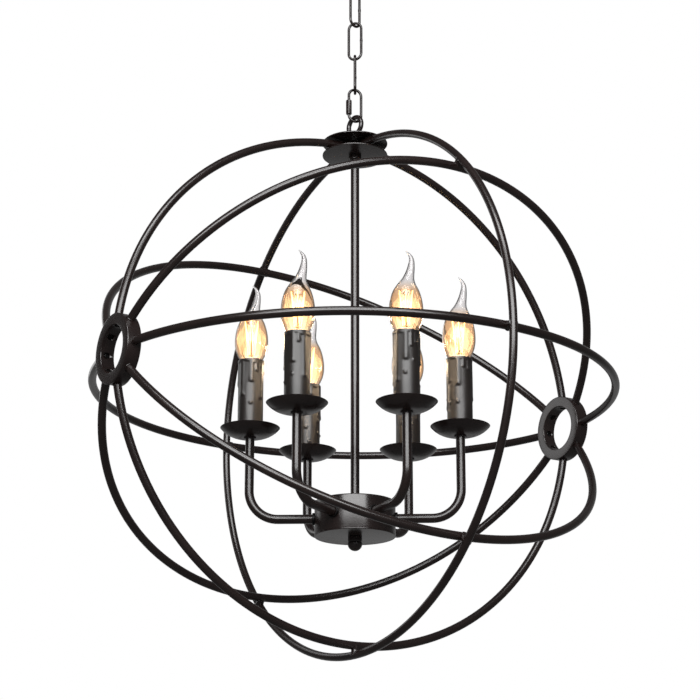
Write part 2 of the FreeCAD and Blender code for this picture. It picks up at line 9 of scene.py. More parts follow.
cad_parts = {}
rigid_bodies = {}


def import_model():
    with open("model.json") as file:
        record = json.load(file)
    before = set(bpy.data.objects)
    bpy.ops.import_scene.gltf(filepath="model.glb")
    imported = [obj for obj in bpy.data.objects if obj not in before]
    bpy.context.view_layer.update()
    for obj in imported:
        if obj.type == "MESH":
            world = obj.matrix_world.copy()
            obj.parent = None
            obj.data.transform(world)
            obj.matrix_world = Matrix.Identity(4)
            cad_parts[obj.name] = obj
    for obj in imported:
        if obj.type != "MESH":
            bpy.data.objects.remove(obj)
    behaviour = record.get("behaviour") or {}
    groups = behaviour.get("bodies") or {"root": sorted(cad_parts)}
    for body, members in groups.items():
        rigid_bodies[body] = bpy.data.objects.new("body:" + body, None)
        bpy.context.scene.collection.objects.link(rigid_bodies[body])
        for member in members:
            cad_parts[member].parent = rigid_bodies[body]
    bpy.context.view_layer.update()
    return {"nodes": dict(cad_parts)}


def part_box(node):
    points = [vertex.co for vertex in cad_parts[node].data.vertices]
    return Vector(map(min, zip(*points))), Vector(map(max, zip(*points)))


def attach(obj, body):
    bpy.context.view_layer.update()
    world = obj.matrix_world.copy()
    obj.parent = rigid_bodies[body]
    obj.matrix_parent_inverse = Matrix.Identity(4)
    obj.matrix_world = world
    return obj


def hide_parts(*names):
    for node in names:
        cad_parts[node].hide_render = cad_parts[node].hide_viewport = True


# Orb chandelier. Shapes are worked out in millimetres, in the frame of the CAD, and made in metres.
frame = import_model()
print("frame loaded,", len(frame["nodes"]), "nodes")

up = Vector((0, 0, 1))
hubAxis = Vector((1, 0, 0))
collarLow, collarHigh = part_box("left_hub_collar")
orbCentre = Vector((0, 0, 500 * (collarLow[2] + collarHigh[2])))      # half the sum, in mm


def boxMm(node):
    low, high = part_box(node)
    return Vector(low) * 1000, Vector(high) * 1000


def turnDirection(degrees):
    return Vector((math.cos(math.radians(degrees)), math.sin(math.radians(degrees)), 0))


# Shape makers: skin, lathe and tube each give points in mm, and faces.
def skin(rings, loop=False):
    count = len(rings[0])
    faces = []
    for k in range(len(rings) if loop else len(rings) - 1):
        here = k * count
        there = (k + 1) % len(rings) * count
        for i in range(count):
            j = (i + 1) % count
            faces.append((here + i, here + j, there + j, there + i))
    if not loop:
        last = (len(rings) - 1) * count
        faces.append(tuple(reversed(range(count))))
        faces.append(tuple(range(last, last + count)))
    return [point for ring in rings for point in ring], faces


def ringAt(centre, across, beside, radius, sides, flats=0):
    points = []
    for i in range(sides):
        angle = 2 * math.pi * i / sides
        reach = radius
        if flats:                              # a hexagon or square with this corner radius
            wedge = 2 * math.pi / flats
            reach = radius * math.cos(wedge / 2) / math.cos(angle % wedge - wedge / 2)
        points.append(centre + across * (reach * math.cos(angle)) + beside * (reach * math.sin(angle)))
    return points


def lathe(rows, base=Vector(), axis=up, sides=64, loop=False):
    # rows are (radius, height) or (radius, height, flats)
    across = axis.orthogonal().normalized()
    beside = axis.cross(across)
    rings = [ringAt(base + axis * row[1], across, beside, row[0], sides, *row[2:]) for row in rows]
    return skin(rings, loop)


def eased(corners, steps=4, loop=False):
    # corners are (radius, height, size of the rounding)
    rows = []
    for i, (r, z, size) in enumerate(corners):
        here = Vector((r, z))
        if size == 0 or (not loop and i in (0, len(corners) - 1)):
            rows.append((r, z))
            continue
        before = Vector(corners[i - 1][:2]) - here
        after = Vector(corners[(i + 1) % len(corners)][:2]) - here
        start = here + before.normalized() * min(size, before.length * 0.49)
        end = here + after.normalized() * min(size, after.length * 0.49)
        for k in range(steps + 1):
            t = k / steps
            spot = start * (1 - t) ** 2 + here * (2 * t * (1 - t)) + end * t ** 2
            rows.append((spot.x, spot.y))
    return rows


def tube(path, radius, sides=20, loop=False, tipRound=0.0):
    # radius is one size, or a list with one for each point; the ring is carried along, so it stays untwisted
    count = len(path)
    sizes = radius if isinstance(radius, list) else [radius] * count
    tangents = []
    for i in range(count):
        before = path[i - 1] if i or loop else path[0]
        after = path[(i + 1) % count] if i < count - 1 or loop else path[-1]
        tangents.append((after - before).normalized())
    across = tangents[0].orthogonal().normalized()
    rings = []
    for i in range(count):
        across = (across - tangents[i] * across.dot(tangents[i])).normalized()
        rings.append(ringAt(path[i], across, tangents[i].cross(across), sizes[i], sides))
    if tipRound:
        inward = 1 - tipRound / sizes[0]
        lift = tipRound * 0.6
        first = [path[0] + (p - path[0]) * inward - tangents[0] * lift for p in rings[0]]
        last = [path[-1] + (p - path[-1]) * inward + tangents[-1] * lift for p in rings[-1]]
        rings = [first] + rings + [last]
    return skin(rings, loop)


def makeMesh(name, shapes):
    points = []
    faces = []
    for shapePoints, shapeFaces in shapes:
        start = len(points)
        points.extend(tuple(p * 0.001) for p in shapePoints)
        faces.extend(tuple(start + i for i in face) for face in shapeFaces)
    mesh = bpy.data.meshes.new(name)
    mesh.from_pydata(points, [], faces)
    work = bmesh.new()
    work.from_mesh(mesh)
    bmesh.ops.remove_doubles(work, verts=work.verts, dist=2e-7)
    bmesh.ops.recalc_face_normals(work, faces=work.faces)
    work.to_mesh(mesh)
    work.free()
    return mesh


def addPiece(name, shapes, material, body, replaced=(), sharp=38.0):
    mesh = makeMesh(name, shapes)
    mesh.polygons.foreach_set("use_smooth", [True] * len(mesh.polygons))
    mesh.set_sharp_from_angle(angle=math.radians(sharp))
    piece = bpy.data.objects.new(name, mesh)
    bpy.context.scene.collection.objects.link(piece)
    mesh.materials.append(material)
    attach(piece, body)
    if replaced:
        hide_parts(*replaced)
    return piece


def addCoatedSteel(name, shapes, replaced=(), body="orb", sharp=38.0):
    return addPiece(name, shapes, coatedSteel, body, replaced, sharp)


def cutAway(piece, shapes):
    # takes closed shapes out of a piece
    mesh = makeMesh("cutter", shapes)
    cutter = bpy.data.objects.new("cutter", mesh)
    bpy.context.scene.collection.objects.link(cutter)
    modifier = piece.modifiers.new("cut", "BOOLEAN")
    modifier.operation = "DIFFERENCE"
    modifier.solver = "EXACT"
    modifier.object = cutter
    bpy.context.view_layer.update()
    cut = bpy.data.meshes.new_from_object(piece.evaluated_get(bpy.context.evaluated_depsgraph_get()))
    piece.modifiers.clear()
    piece.data = cut
    bpy.data.objects.remove(cutter)
    bpy.data.meshes.remove(mesh)


def cleanName(node):
    words = node.split("_")
    return words[0] + "".join(word.capitalize() for word in words[1:])


def linearColour(hexText):
    parts = [int(hexText[i:i + 2], 16) / 255 for i in (1, 3, 5)]
    return tuple(c / 12.92 if c <= 0.04045 else ((c + 0.055) / 1.055) ** 2.4 for c in parts) + (1.0,)


def grey(value):
    return (value, value, value, 1.0)


def addNode(tree, kind, settings={}, links={}):
    # settings are values of sockets, the node's own options, or the colour stops of a ramp
    node = tree.nodes.new(kind)
    for name, value in settings.items():
        if name == "stops":
            band = node.color_ramp.elements
            band[0].position, band[0].color = value[0]
            band[1].position, band[1].color = value[-1]
            for position, colour in value[1:-1]:
                band.new(position).color = colour
        elif isinstance(name, int) or name in node.inputs:
            node.inputs[name].default_value = value
        else:
            setattr(node, name, value)
    for name, socket in links.items():
        tree.links.new(socket, node.inputs[name])
    return node


def startMaterial(name, settings):
    material = bpy.data.materials.new(name)
    material.use_nodes = True
    tree = material.node_tree
    shader = tree.nodes["Principled BSDF"]
    for key, value in settings.items():
        shader.inputs[key].default_value = value
    return material, tree, shader


# Satin powder coat on steel: sprayed and baked, so it gives soft wide streaks and a very fine orange peel.
powderCoat = {
    "darkPatch": "#19100f",
    "lightPatch": "#221816",
    "patchMm": 45.0,
    "peelMm": 2.4,           # the real peel is under 1 mm, drawn coarser so that it shows
    "peelDepthMm": 0.004,
    "roughLow": 0.23,
    "roughHigh": 0.27,
    "ior": 1.5,
    "specular": 0.95,
}


def makePowderCoat(name, values):
    material, tree, shader = startMaterial(name, {
        "IOR": values["ior"],
        "Specular IOR Level": values["specular"],
    })
    place = addNode(tree, "ShaderNodeTexCoord").outputs["Object"]
    patch = addNode(tree, "ShaderNodeTexNoise", {
        "Scale": 1000 / values["patchMm"],
        "Detail": 3.0,
    }, {"Vector": place})
    colour = addNode(tree, "ShaderNodeValToRGB", {"stops": [
        (0.35, linearColour(values["darkPatch"])),
        (0.65, linearColour(values["lightPatch"])),
    ]}, {"Fac": patch.outputs["Fac"]})
    tree.links.new(colour.outputs["Color"], shader.inputs["Base Color"])
    peel = addNode(tree, "ShaderNodeTexNoise", {
        "Scale": 1000 / values["peelMm"],
        "Detail": 2.0,
    }, {"Vector": place})
    rough = addNode(tree, "ShaderNodeMapRange", {
        "To Min": values["roughLow"],
        "To Max": values["roughHigh"],
    }, {"Value": peel.outputs["Fac"]})
    tree.links.new(rough.outputs["Result"], shader.inputs["Roughness"])
    bump = addNode(tree, "ShaderNodeBump", {
        "Strength": 0.5,
        "Distance": values["peelDepthMm"] * 0.001,
    }, {"Height": peel.outputs["Fac"]})
    tree.links.new(bump.outputs["Normal"], shader.inputs["Normal"])
    return material


coatedSteel = makePowderCoat("satinPowderCoatedSteel", powderCoat)

# Moulded ABS with a satin, waxy skin: soft flow marks down its length and a broad, rather bright streak.
candleAbs = {
    "dark": "#171210",
    "light": "#211b18",
    "flowMm": 11.0,
    "flowStretch": 0.22,     # the marks run this share as tightly down the candle as round it
    "flowDepthMm": 0.03,
    "roughness": 0.4,
    "ior": 1.5,
    "specular": 1.0,
}


def makeCandleAbs(name, values):
    material, tree, shader = startMaterial(name, {
        "Roughness": values["roughness"],
        "IOR": values["ior"],
        "Specular IOR Level": values["specular"],
    })
    place = addNode(tree, "ShaderNodeTexCoord").outputs["Object"]
    stretch = addNode(tree, "ShaderNodeMapping", {
        "Scale": (1.0, 1.0, values["flowStretch"]),
    }, {"Vector": place})
    flow = addNode(tree, "ShaderNodeTexNoise", {
        "Scale": 1000 / values["flowMm"],
        "Detail": 3.0,
    }, {"Vector": stretch.outputs["Vector"]})
    colour = addNode(tree, "ShaderNodeValToRGB", {"stops": [
        (0.4, linearColour(values["dark"])),
        (0.65, linearColour(values["light"])),
    ]}, {"Fac": flow.outputs["Fac"]})
    tree.links.new(colour.outputs["Color"], shader.inputs["Base Color"])
    bump = addNode(tree, "ShaderNodeBump", {
        "Strength": 0.6,
        "Distance": values["flowDepthMm"] * 0.001,
    }, {"Height": flow.outputs["Fac"]})
    tree.links.new(bump.outputs["Normal"], shader.inputs["Normal"])
    return material


candlePlastic = makeCandleAbs("mouldedSatinAbs", candleAbs)

# Blown soda-lime glass: thin and sparkling, with an amber bowl that fades to clear in the drawn tip, and
# painted shade along its edges.
blownGlass = {
    "amber": "#eed3b9",
    "paleAmber": "#f8eee2",
    "clear": "#f6f4f4",
    "amberRimTintAndShade": "#ad8262",   # seen edge-on the wall is thicker, so the tint is deeper there; both rim colours are also painted shade, and the clear tip's grey rim is wholly painted shade
    "clearRimShade": "#5b5553",
    "rimTintAndShadeShare": 0.9,
    "rimFromBowl": 0.55,     # how far the wall turns edge-on before its rim tint and painted shade start
    "rimFromTip": 0.1,
    "amberFrom": 0.14,       # shares of the height of the glass
    "amberTo": 0.5,
    "clearFrom": 0.62,
    "glow": "#ffd496",
    "glowStrength": 0.07,
    "roughness": 0.015,
    "ior": 1.47,
}


def makeBlownGlass(name, values):
    material, tree, shader = startMaterial(name, {
        "Roughness": values["roughness"],
        "IOR": values["ior"],
        "Transmission Weight": 1.0,
        "Emission Color": linearColour(values["glow"]),
    })
    place = addNode(tree, "ShaderNodeTexCoord")
    parts = addNode(tree, "ShaderNodeSeparateXYZ", {}, {"Vector": place.outputs["Generated"]})
    height = parts.outputs["Z"]
    colour = addNode(tree, "ShaderNodeValToRGB", {"stops": [
        (0.0, linearColour(values["paleAmber"])),
        (values["amberFrom"], linearColour(values["amber"])),
        (values["amberTo"], linearColour(values["amber"])),
        (values["clearFrom"], linearColour(values["clear"])),
        (1.0, linearColour(values["clear"])),
    ]}, {"Fac": height})
    # painted shade: where the wall turns edge-on the glass is drawn darker, deeper amber in the bowl and grey
    # in the clear tip
    rim = addNode(tree, "ShaderNodeValToRGB", {"stops": [
        (0.0, linearColour(values["amberRimTintAndShade"])),
        (values["amberTo"], linearColour(values["amberRimTintAndShade"])),
        (values["clearFrom"], linearColour(values["clearRimShade"])),
        (1.0, linearColour(values["clearRimShade"])),
    ]}, {"Fac": height})
    rimFrom = addNode(tree, "ShaderNodeValToRGB", {"stops": [
        (0.0, grey(values["rimFromBowl"])),
        (0.55, grey(values["rimFromBowl"])),
        (0.7, grey(values["rimFromTip"])),
        (1.0, grey(values["rimFromTip"])),
    ]}, {"Fac": height})
    edge = addNode(tree, "ShaderNodeLayerWeight", {"Blend": 0.5})
    rimTintAndShadeShare = addNode(tree, "ShaderNodeMapRange", {
        "From Max": 1.0,
        "To Min": 0.0,
        "To Max": values["rimTintAndShadeShare"],
    }, {"Value": edge.outputs["Facing"], "From Min": rimFrom.outputs["Color"]})
    tint = addNode(tree, "ShaderNodeMix", {"data_type": "RGBA"}, {
        0: rimTintAndShadeShare.outputs["Result"],
        6: colour.outputs["Color"],
        7: rim.outputs["Color"],
    })
    tree.links.new(tint.outputs[2], shader.inputs["Base Color"])
    # the strands light the bowl from inside, most where the wall faces the eye
    lit = addNode(tree, "ShaderNodeValToRGB", {"stops": [
        (0.02, grey(0.3)),
        (0.15, grey(1.0)),
        (0.42, grey(1.0)),
        (0.58, grey(0.0)),
    ]}, {"Fac": height})
    facing = addNode(tree, "ShaderNodeMapRange", {
        "From Min": 0.0,
        "From Max": 0.75,
        "To Min": 1.0,
        "To Max": 0.0,
    }, {"Value": edge.outputs["Facing"]})
    strength = addNode(tree, "ShaderNodeMath", {"operation": "MULTIPLY"}, {
        0: lit.outputs["Color"],
        1: facing.outputs["Result"],
    })
    scaled = addNode(tree, "ShaderNodeMath", {"operation": "MULTIPLY", 1: values["glowStrength"]}, {
        0: strength.outputs["Value"],
    })
    tree.links.new(scaled.outputs["Value"], shader.inputs["Emission Strength"])
    return material


bulbGlassMaterial = makeBlownGlass("blownAmberGlass", blownGlass)

# Pressed soda-lime glass: thick, clear and faintly warm.
flareGlass = startMaterial("pressedClearGlass", {
    "Base Color": linearColour("#fdf1de"),
    "Roughness": 0.02,
    "IOR": 1.5,
    "Transmission Weight": 1.0,
})[0]

# Coated filament strand at working heat: bright yellow-white, a little uneven along its length.
hotStrand = {
    "coating": "#ffd894",
    "light": "#ffdf96",
    "roughness": 0.6,
    "strengthLow": 3.0,
    "strengthHigh": 5.0,
    "grainMm": 10 / 9,       # coarser than the real coating, so that it shows
}


def makeFilament(name, values):
    material, tree, shader = startMaterial(name, {
        "Base Color": linearColour(values["coating"]),
        "Roughness": values["roughness"],
        "Emission Color": linearColour(values["light"]),
        "Emission Strength": values["strengthLow"],
    })
    place = addNode(tree, "ShaderNodeTexCoord").outputs["Object"]
    grain = addNode(tree, "ShaderNodeTexNoise", {"Scale": 1000 / values["grainMm"]}, {"Vector": place})
    glow = addNode(tree, "ShaderNodeMapRange", {
        "To Min": values["strengthLow"],
        "To Max": values["strengthHigh"],
    }, {"Value": grain.outputs["Fac"]})
    tree.links.new(glow.outputs["Result"], shader.inputs["Emission Strength"])
    return material


filamentMaterial = makeFilament("glowingFilament", hotStrand)


# Bare metals: plated, drawn or blackened, told apart by colour, roughness and the size of their grain.
# The real grain is far finer: it is drawn coarser so that it shows.
def makeBareMetal(name, values):
    material, tree, shader = startMaterial(name, {
        "Base Color": linearColour(values["colour"]),
        "Metallic": values["metallic"],
    })
    place = addNode(tree, "ShaderNodeTexCoord").outputs["Object"]
    grain = addNode(tree, "ShaderNodeTexNoise", {
        "Scale": 1000 / values["grainMm"],
        "Detail": 4.0,
        "Distortion": 0.6,
    }, {"Vector": place})
    rough = addNode(tree, "ShaderNodeMapRange", {
        "To Min": values["roughness"] - 0.08,
        "To Max": values["roughness"] + 0.1,
    }, {"Value": grain.outputs["Fac"]})
    tree.links.new(rough.outputs["Result"], shader.inputs["Roughness"])
    bump = addNode(tree, "ShaderNodeBump", {
        "Strength": 0.3,
        "Distance": 0.00003,                   # 0.03 mm
    }, {"Height": grain.outputs["Fac"]})
    tree.links.new(bump.outputs["Normal"], shader.inputs["Normal"])
    return material


# bright zinc plate: pale grey with a soft shine
zincPlatedSteel = makeBareMetal("zincPlatedSteel", {
    "colour": "#b9bab8", "metallic": 1.0, "roughness": 0.36, "grainMm": 3.0,
})
# black oxide: nearly black, dull and dry
blackOxideSteel = makeBareMetal("blackOxideSteel", {
    "colour": "#0d0c0c", "metallic": 0.4, "roughness": 0.42, "grainMm": 2.0,
})
# nickel on brass: warm, pale and crisp
nickelBrass = makeBareMetal("nickelPlatedBrass", {
    "colour": "#cbbf9f", "metallic": 1.0, "roughness": 0.24, "grainMm": 2.5,
})
# drawn copper-clad wire: brown with a soft shine
supportWireMetal = makeBareMetal("drawnCopperCladWire", {
    "colour": "#8a6a48", "metallic": 1.0, "roughness": 0.35, "grainMm": 2.0,
})


# Moulded phenolic and nylon: dull, faintly mottled plastics.
def makeDullPlastic(name, values):
    material, tree, shader = startMaterial(name, {"Roughness": values["roughness"], "IOR": 1.5})
    place = addNode(tree, "ShaderNodeTexCoord").outputs["Object"]
    mottle = addNode(tree, "ShaderNodeTexNoise", {
        "Scale": 1000 / values["mottleMm"],
        "Detail": 4.0,
    }, {"Vector": place})
    colour = addNode(tree, "ShaderNodeValToRGB", {"stops": [
        (0.35, linearColour(values["dark"])),
        (0.65, linearColour(values["light"])),
    ]}, {"Fac": mottle.outputs["Fac"]})
    tree.links.new(colour.outputs["Color"], shader.inputs["Base Color"])
    return material


holderPlastic = makeDullPlastic("mouldedPhenolic", {
    "dark": "#171514", "light": "#221f1d", "roughness": 0.5, "mottleMm": 6.0,
})
wireCapPlastic = makeDullPlastic("mouldedNylon", {
    "dark": "#c2661c", "light": "#d67a2a", "roughness": 0.45, "mottleMm": 5.0,
})
print("materials made")


# The cage: an outer ring, and bent bars that run inside it from one hub collar to the other.
cage = {
    "barRadius": 4.25,
    "ringRadius": 274.5,
    "ringBarRadius": 4.05,    # keeps the round ring inside the faceted one of the CAD
    "arcRadius": 265.2,
    "bendRadius": 277.2,
    "barEnd": 30.7,           # distance of a bar's end from the hub axis, inside the collar
    "capHubRadius": 10.2,
    "arcCount": 8,
    "stations": 96,
    "barSides": 28,
}
arcNodes = {1: "arc_front_upper", 2: "arc_front_middle", 3: "arc_front_lower", 4: "arc_bottom",
            5: "arc_back_lower", 6: "arc_back_middle", 7: "arc_back_upper"}


def arcOutward(k):
    angle = 2 * math.pi * k / cage["arcCount"]
    return Vector((0, -math.sin(angle), math.cos(angle)))


def arcApex(k):
    # only the top bars, cut by the cap, lie in line with the outer ring
    return cage["ringRadius"] if k == 0 else cage["arcRadius"]


def bendAngle(apex, height):
    return math.acos((height + cage["bendRadius"] - apex) / cage["bendRadius"])


def arcPoint(k, angle):
    outward = arcOutward(k)
    centre = orbCentre - outward * (cage["bendRadius"] - arcApex(k))
    return centre + (outward * math.cos(angle) + hubAxis * math.sin(angle)) * cage["bendRadius"]


def addArcBar(node, k, start, end, stations):
    path = [arcPoint(k, start + (end - start) * i / stations) for i in range(stations + 1)]
    addCoatedSteel(cleanName(node) + "Bar", [tube(path, cage["barRadius"], cage["barSides"])], [node])


arcEnd = bendAngle(arcApex(1), cage["barEnd"])
topEnd = bendAngle(arcApex(0), cage["barEnd"])
topStart = math.asin(cage["capHubRadius"] / cage["bendRadius"])
for k, node in arcNodes.items():
    addArcBar(node, k, -arcEnd, arcEnd, cage["stations"])
for side, node in ((-1, "arc_top_left"), (1, "arc_top_right")):
    addArcBar(node, 0, side * topStart, side * topEnd, cage["stations"] // 2)

ringStart = math.asin(cage["capHubRadius"] / cage["ringRadius"])
ringStations = 2 * cage["stations"]
ringPath = []
for i in range(ringStations + 1):
    angle = ringStart + (2 * math.pi - 2 * ringStart) * i / ringStations
    ringPath.append(orbCentre + Vector((0, -math.sin(angle), math.cos(angle))) * cage["ringRadius"])
addCoatedSteel("outerRingBar", [tube(ringPath, cage["ringBarRadius"], cage["barSides"])], ["outer_ring"])

# Each crossing is a hand-laid bead: a drum between the two bars, flared where it wets each of them.
weld = {
    "reach": 5.6,             # half length of the bead along the bars
    "waist": 3.9,
    "flare": 1.6,
    "sunk": 1.5,              # how far it goes past the middle of each bar
    "endShare": 0.6,
    "lumpMm": 2.2,
    "lumpDepth": 0.35,
    "steps": 14,
    "sides": 28,
}
weldBeads = []
for k in arcNodes:
    outward = arcOutward(k)
    inner = cage["arcRadius"] - weld["sunk"]
    outer = cage["ringRadius"] + weld["sunk"]
    along = outward.cross(hubAxis)
    rings = []
    for i in range(weld["steps"] + 1):
        t = i / weld["steps"]
        size = weld["waist"] + (weld["reach"] - weld["waist"]) * abs(2 * t - 1) ** weld["flare"]
        if i in (0, weld["steps"]):
            size *= weld["endShare"]
        centre = orbCentre + outward * (inner + (outer - inner) * t)
        ring = ringAt(centre, hubAxis, along, size, weld["sides"])
        for n, point in enumerate(ring):
            lump = noise.noise(point / weld["lumpMm"]) * weld["lumpDepth"]
            ring[n] = point + (point - centre).normalized() * lump
        rings.append(ring)
    weldBeads.append(skin(rings))
addCoatedSteel("crossingWelds", weldBeads, ["ring_welds"], sharp=70)
print("cage bars and welds made")


# Hub collars: a turned ring, with a lip round each bar's socket and a pocketed screw behind it.
hub = {
    "radius": 35.5,
    "boreRadius": 24.2,
    "width": 15.0,
    "centre": 273.6,
    "edge": 0.9,
    "sides": 128,
    "screwRadius": 2.8,
    "screwHeight": 1.8,
    "screwSunk": 0.4,
    "hexRadius": 1.5,
    "hexDepth": 1.1,
    "pocketRadius": 3.1,
    "pocketDepth": 2.2,
    "lipRadius": 0.5,
    "lipGap": 0.35,           # from the bar to the middle of the lip
    "lipSunk": 0.1,
}


def socketScrew(seat, outward, foot):
    top = foot - hub["screwHeight"]
    r = hub["screwRadius"]
    hexFloor = top + hub["hexDepth"]
    end = foot + hub["screwSunk"]
    rows = [(0.0, hexFloor), (hub["hexRadius"], hexFloor, 6), (hub["hexRadius"], top + 0.1, 6),
            (hub["hexRadius"] + 0.25, top), (r * 0.72, top + 0.08), (r * 0.93, top + 0.6), (r, top + 1.2),
            (r, end), (0.0, end)]
    return lathe(rows, seat, outward, 24)


for side, word in ((-1, "left"), (1, "right")):
    start = orbCentre + hubAxis * (side * hub["centre"] - hub["width"] / 2)
    rows = eased([(hub["boreRadius"], 0, hub["edge"]), (hub["radius"], 0, hub["edge"]),
                  (hub["radius"], hub["width"], hub["edge"]), (hub["boreRadius"], hub["width"], hub["edge"])],
                 loop=True)
    collar = lathe(rows, start, hubAxis, hub["sides"], loop=True)
    lips = []
    screws = []
    pockets = []
    for k in range(cage["arcCount"]):
        spot = bendAngle(arcApex(k), hub["radius"] - hub["lipSunk"])
        here = arcPoint(k, side * spot)
        onward = (arcPoint(k, side * (spot + 0.01)) - here).normalized()
        across = onward.orthogonal().normalized()
        lip = ringAt(here, across, onward.cross(across), cage["barRadius"] + hub["lipGap"], 32)
        lips.append(tube(lip, hub["lipRadius"], 8, loop=True))
        outward = arcOutward(k)
        aside = cage["bendRadius"] * math.sin(bendAngle(arcApex(k), cage["barEnd"]))
        seat = Vector((side * aside, 0, orbCentre.z))
        foot = hub["boreRadius"] + hub["pocketDepth"]
        screws.append(socketScrew(seat, outward, foot))
        pocket = [(hub["pocketRadius"], hub["boreRadius"] - 3), (hub["pocketRadius"], foot)]
        pockets.append(lathe(pocket, seat, outward, 24))
    ring = addCoatedSteel(word + "HubCollar", [collar], [word + "_hub_collar"])
    cutAway(ring, pockets)
    addCoatedSteel(word + "HubSocketLips", lips)
    addPiece(word + "HubScrews", screws, blackOxideSteel, "orb", [word + "_hub_screws"])
print("hub collars made")


# Cap discs, their spacer and the hanging loop.
cap = {
    "edge": 0.5,
    "spacerEdge": 0.4,
    "boreRadius": 4.2,
    "loopWire": 5.2,
    "loopRadius": 12.5,
    "loopTurn": -80.0,
    "bossRadius": 6.8,
}
bossShape = {
    "overRing": 2.2,          # how far the boss reaches over the ring
    "neck": 0.72,             # shares of the boss's radius
    "waist": 0.78,
    "waistAt": 0.3,           # shares of its height
    "shoulderAt": 0.42,
}


def flatRing(node, bore, edge, sides):
    low, high = boxMm(node)
    rows = eased([(bore, low.z, 0), (high.x, low.z, edge), (high.x, high.z, edge), (bore, high.z, 0)],
                 loop=True)
    return lathe(rows, sides=sides, loop=True)


def loopPiece(name, node, values, body, discLevel, bossSide):
    # a thick ring on a waisted boss; bossSide is 1 when the boss is above the ring
    low, high = boxMm(node)
    if bossSide > 0:
        centre = up * (low.z + values["loopRadius"])
    else:
        centre = up * (high.z - values["loopRadius"])
    middle = values["loopRadius"] - values["loopWire"] / 2
    path = ringAt(centre, turnDirection(values["loopTurn"]), up, middle, 64)
    ring = tube(path, values["loopWire"] / 2, 24, loop=True)
    nearRing = centre.z + bossSide * (values["loopRadius"] - bossShape["overRing"])
    r = values["bossRadius"]
    span = discLevel - nearRing
    rows = eased([(0.0, nearRing, 0), (r * bossShape["neck"], nearRing, 0.8),
                  (r * bossShape["waist"], nearRing + span * bossShape["waistAt"], 1.0),
                  (r, nearRing + span * bossShape["shoulderAt"], 0.8), (r, discLevel, 0.6),
                  (0.0, discLevel, 0)])
    addCoatedSteel(name, [ring, lathe(rows, sides=48)], [node], body)


for node in ("upper_cap_disc", "lower_cap_disc"):
    addCoatedSteel(cleanName(node) + "Plate", [flatRing(node, cap["boreRadius"], cap["edge"], 128)], [node])
addCoatedSteel("capSpacer", [flatRing("cap_hub", cap["boreRadius"], cap["spacerEdge"], 48)], ["cap_hub"])
loopPiece("hangingLoopRing", "hanging_loop", cap, "orb", boxMm("upper_cap_disc")[1].z, -1)

# Stem and its coupling.
stem = {
    "radius": 4.6,
    "boreRadius": 3.2,
    "couplingBore": 4.7,
    "couplingTaper": 0.9,
    "couplingTaperHeight": 1.0,
}
low, high = boxMm("stem_coupling")
rows = eased([(stem["couplingBore"], low.z, 0.2), (high.x - stem["couplingTaper"], low.z, 0.4),
              (high.x, low.z + stem["couplingTaperHeight"], 0.5), (high.x, high.z, 0.3),
              (stem["couplingBore"], high.z, 0)], loop=True)
addCoatedSteel("stemCouplingNut", [lathe(rows, sides=64, loop=True)], ["stem_coupling"])
low, high = boxMm("stem")
rows = [(stem["boreRadius"], low.z), (stem["radius"], low.z),
        (stem["radius"], high.z), (stem["boreRadius"], high.z)]
addCoatedSteel("stemTube", [lathe(rows, sides=48, loop=True)], ["stem"])

# Body: a spun drum, closed from below by a plate with a fine seam.
drum = {
    "radius": 41.5,
    "wall": 1.5,
    "edge": 1.4,
    "coverEdge": 0.7,
    "seamGroove": 0.25,
    "seamDepth": 0.3,
    "stemHole": 4.8,
    "rodHole": 3.2,
    "sides": 160,
}
low, high = boxMm("body_canister")
r = drum["radius"]
inside = r - drum["wall"]
roof = high.z - drum["wall"]
rows = eased([(drum["stemHole"], high.z, 0.2), (r, high.z, drum["edge"]), (r, low.z, 0.25),
              (inside, low.z, 0), (inside, roof, 0.8), (drum["stemHole"], roof, 0)], loop=True)
addCoatedSteel("bodyDrum", [lathe(rows, sides=drum["sides"], loop=True)], ["body_canister"])
low, high = boxMm("body_cover")
rows = eased([(drum["rodHole"], low.z, 0), (r, low.z, drum["coverEdge"]),
              (r, high.z - drum["seamGroove"], 0.2), (r - drum["seamDepth"], high.z, 0),
              (drum["rodHole"], high.z, 0)], loop=True)
addCoatedSteel("bodyCoverPlate", [lathe(rows, sides=drum["sides"], loop=True)], ["body_cover"])

# Finial: a short barrel, a waist, and a bead with a domed end.
finial = {
    "radius": 7.2,
    "barrel": 5.6,
    "shoulder": 0.8,
    "waistRadius": 6.7,
    "beadRadius": 7.5,
    "beadTop": 0.9,
    "domeTop": 1.6,
    "domeSteps": 14,
}
low, high = boxMm("finial")
r = finial["radius"]
bead = finial["beadRadius"]
waist = high.z - finial["barrel"]
domeTop = waist - finial["domeTop"]
rows = eased([(0.0, high.z, 0), (r, high.z, 0.2), (r, waist + finial["shoulder"], 0.6),
              (finial["waistRadius"], waist, 0.4), (bead, waist - finial["beadTop"], 0.4),
              (bead, domeTop, 0)])
for n in range(1, finial["domeSteps"] + 1):
    angle = math.pi / 2 * n / finial["domeSteps"]
    rows.append((bead * math.cos(angle), domeTop - (domeTop - low.z) * math.sin(angle)))
addCoatedSteel("finialCap", [lathe(rows, sides=48)], ["finial"])
print("cap, stem and body made")


# Arms: each leaves the drum level, bends up and ends in a small ledge under its dish.
arm = {
    "radius": 4.75,
    "turn": 25.5,
    "count": 6,
    "inner": 34.0,
    "bendRadius": 30.0,
    "circle": 109.0,
    "bendSteps": 18,
    "sides": 28,
    "collarRadius": 6.4,
    "collarBore": 4.9,
    "collarLength": 2.5,
    "collarSunk": 0.3,
    "seatRadius": 6.4,
    "seatHeight": 1.4,
    "seatTaper": 0.5,
    "seatSunk": 0.2,
}
armLevel = (boxMm("arm_collars")[0].z + boxMm("arm_collars")[1].z) / 2
dishLow = boxMm("drip_dishes")[0]


def armOutward(i):
    return turnDirection(arm["turn"] + 360 / arm["count"] * i)


def candleSpot(i):
    return armOutward(i) * arm["circle"]


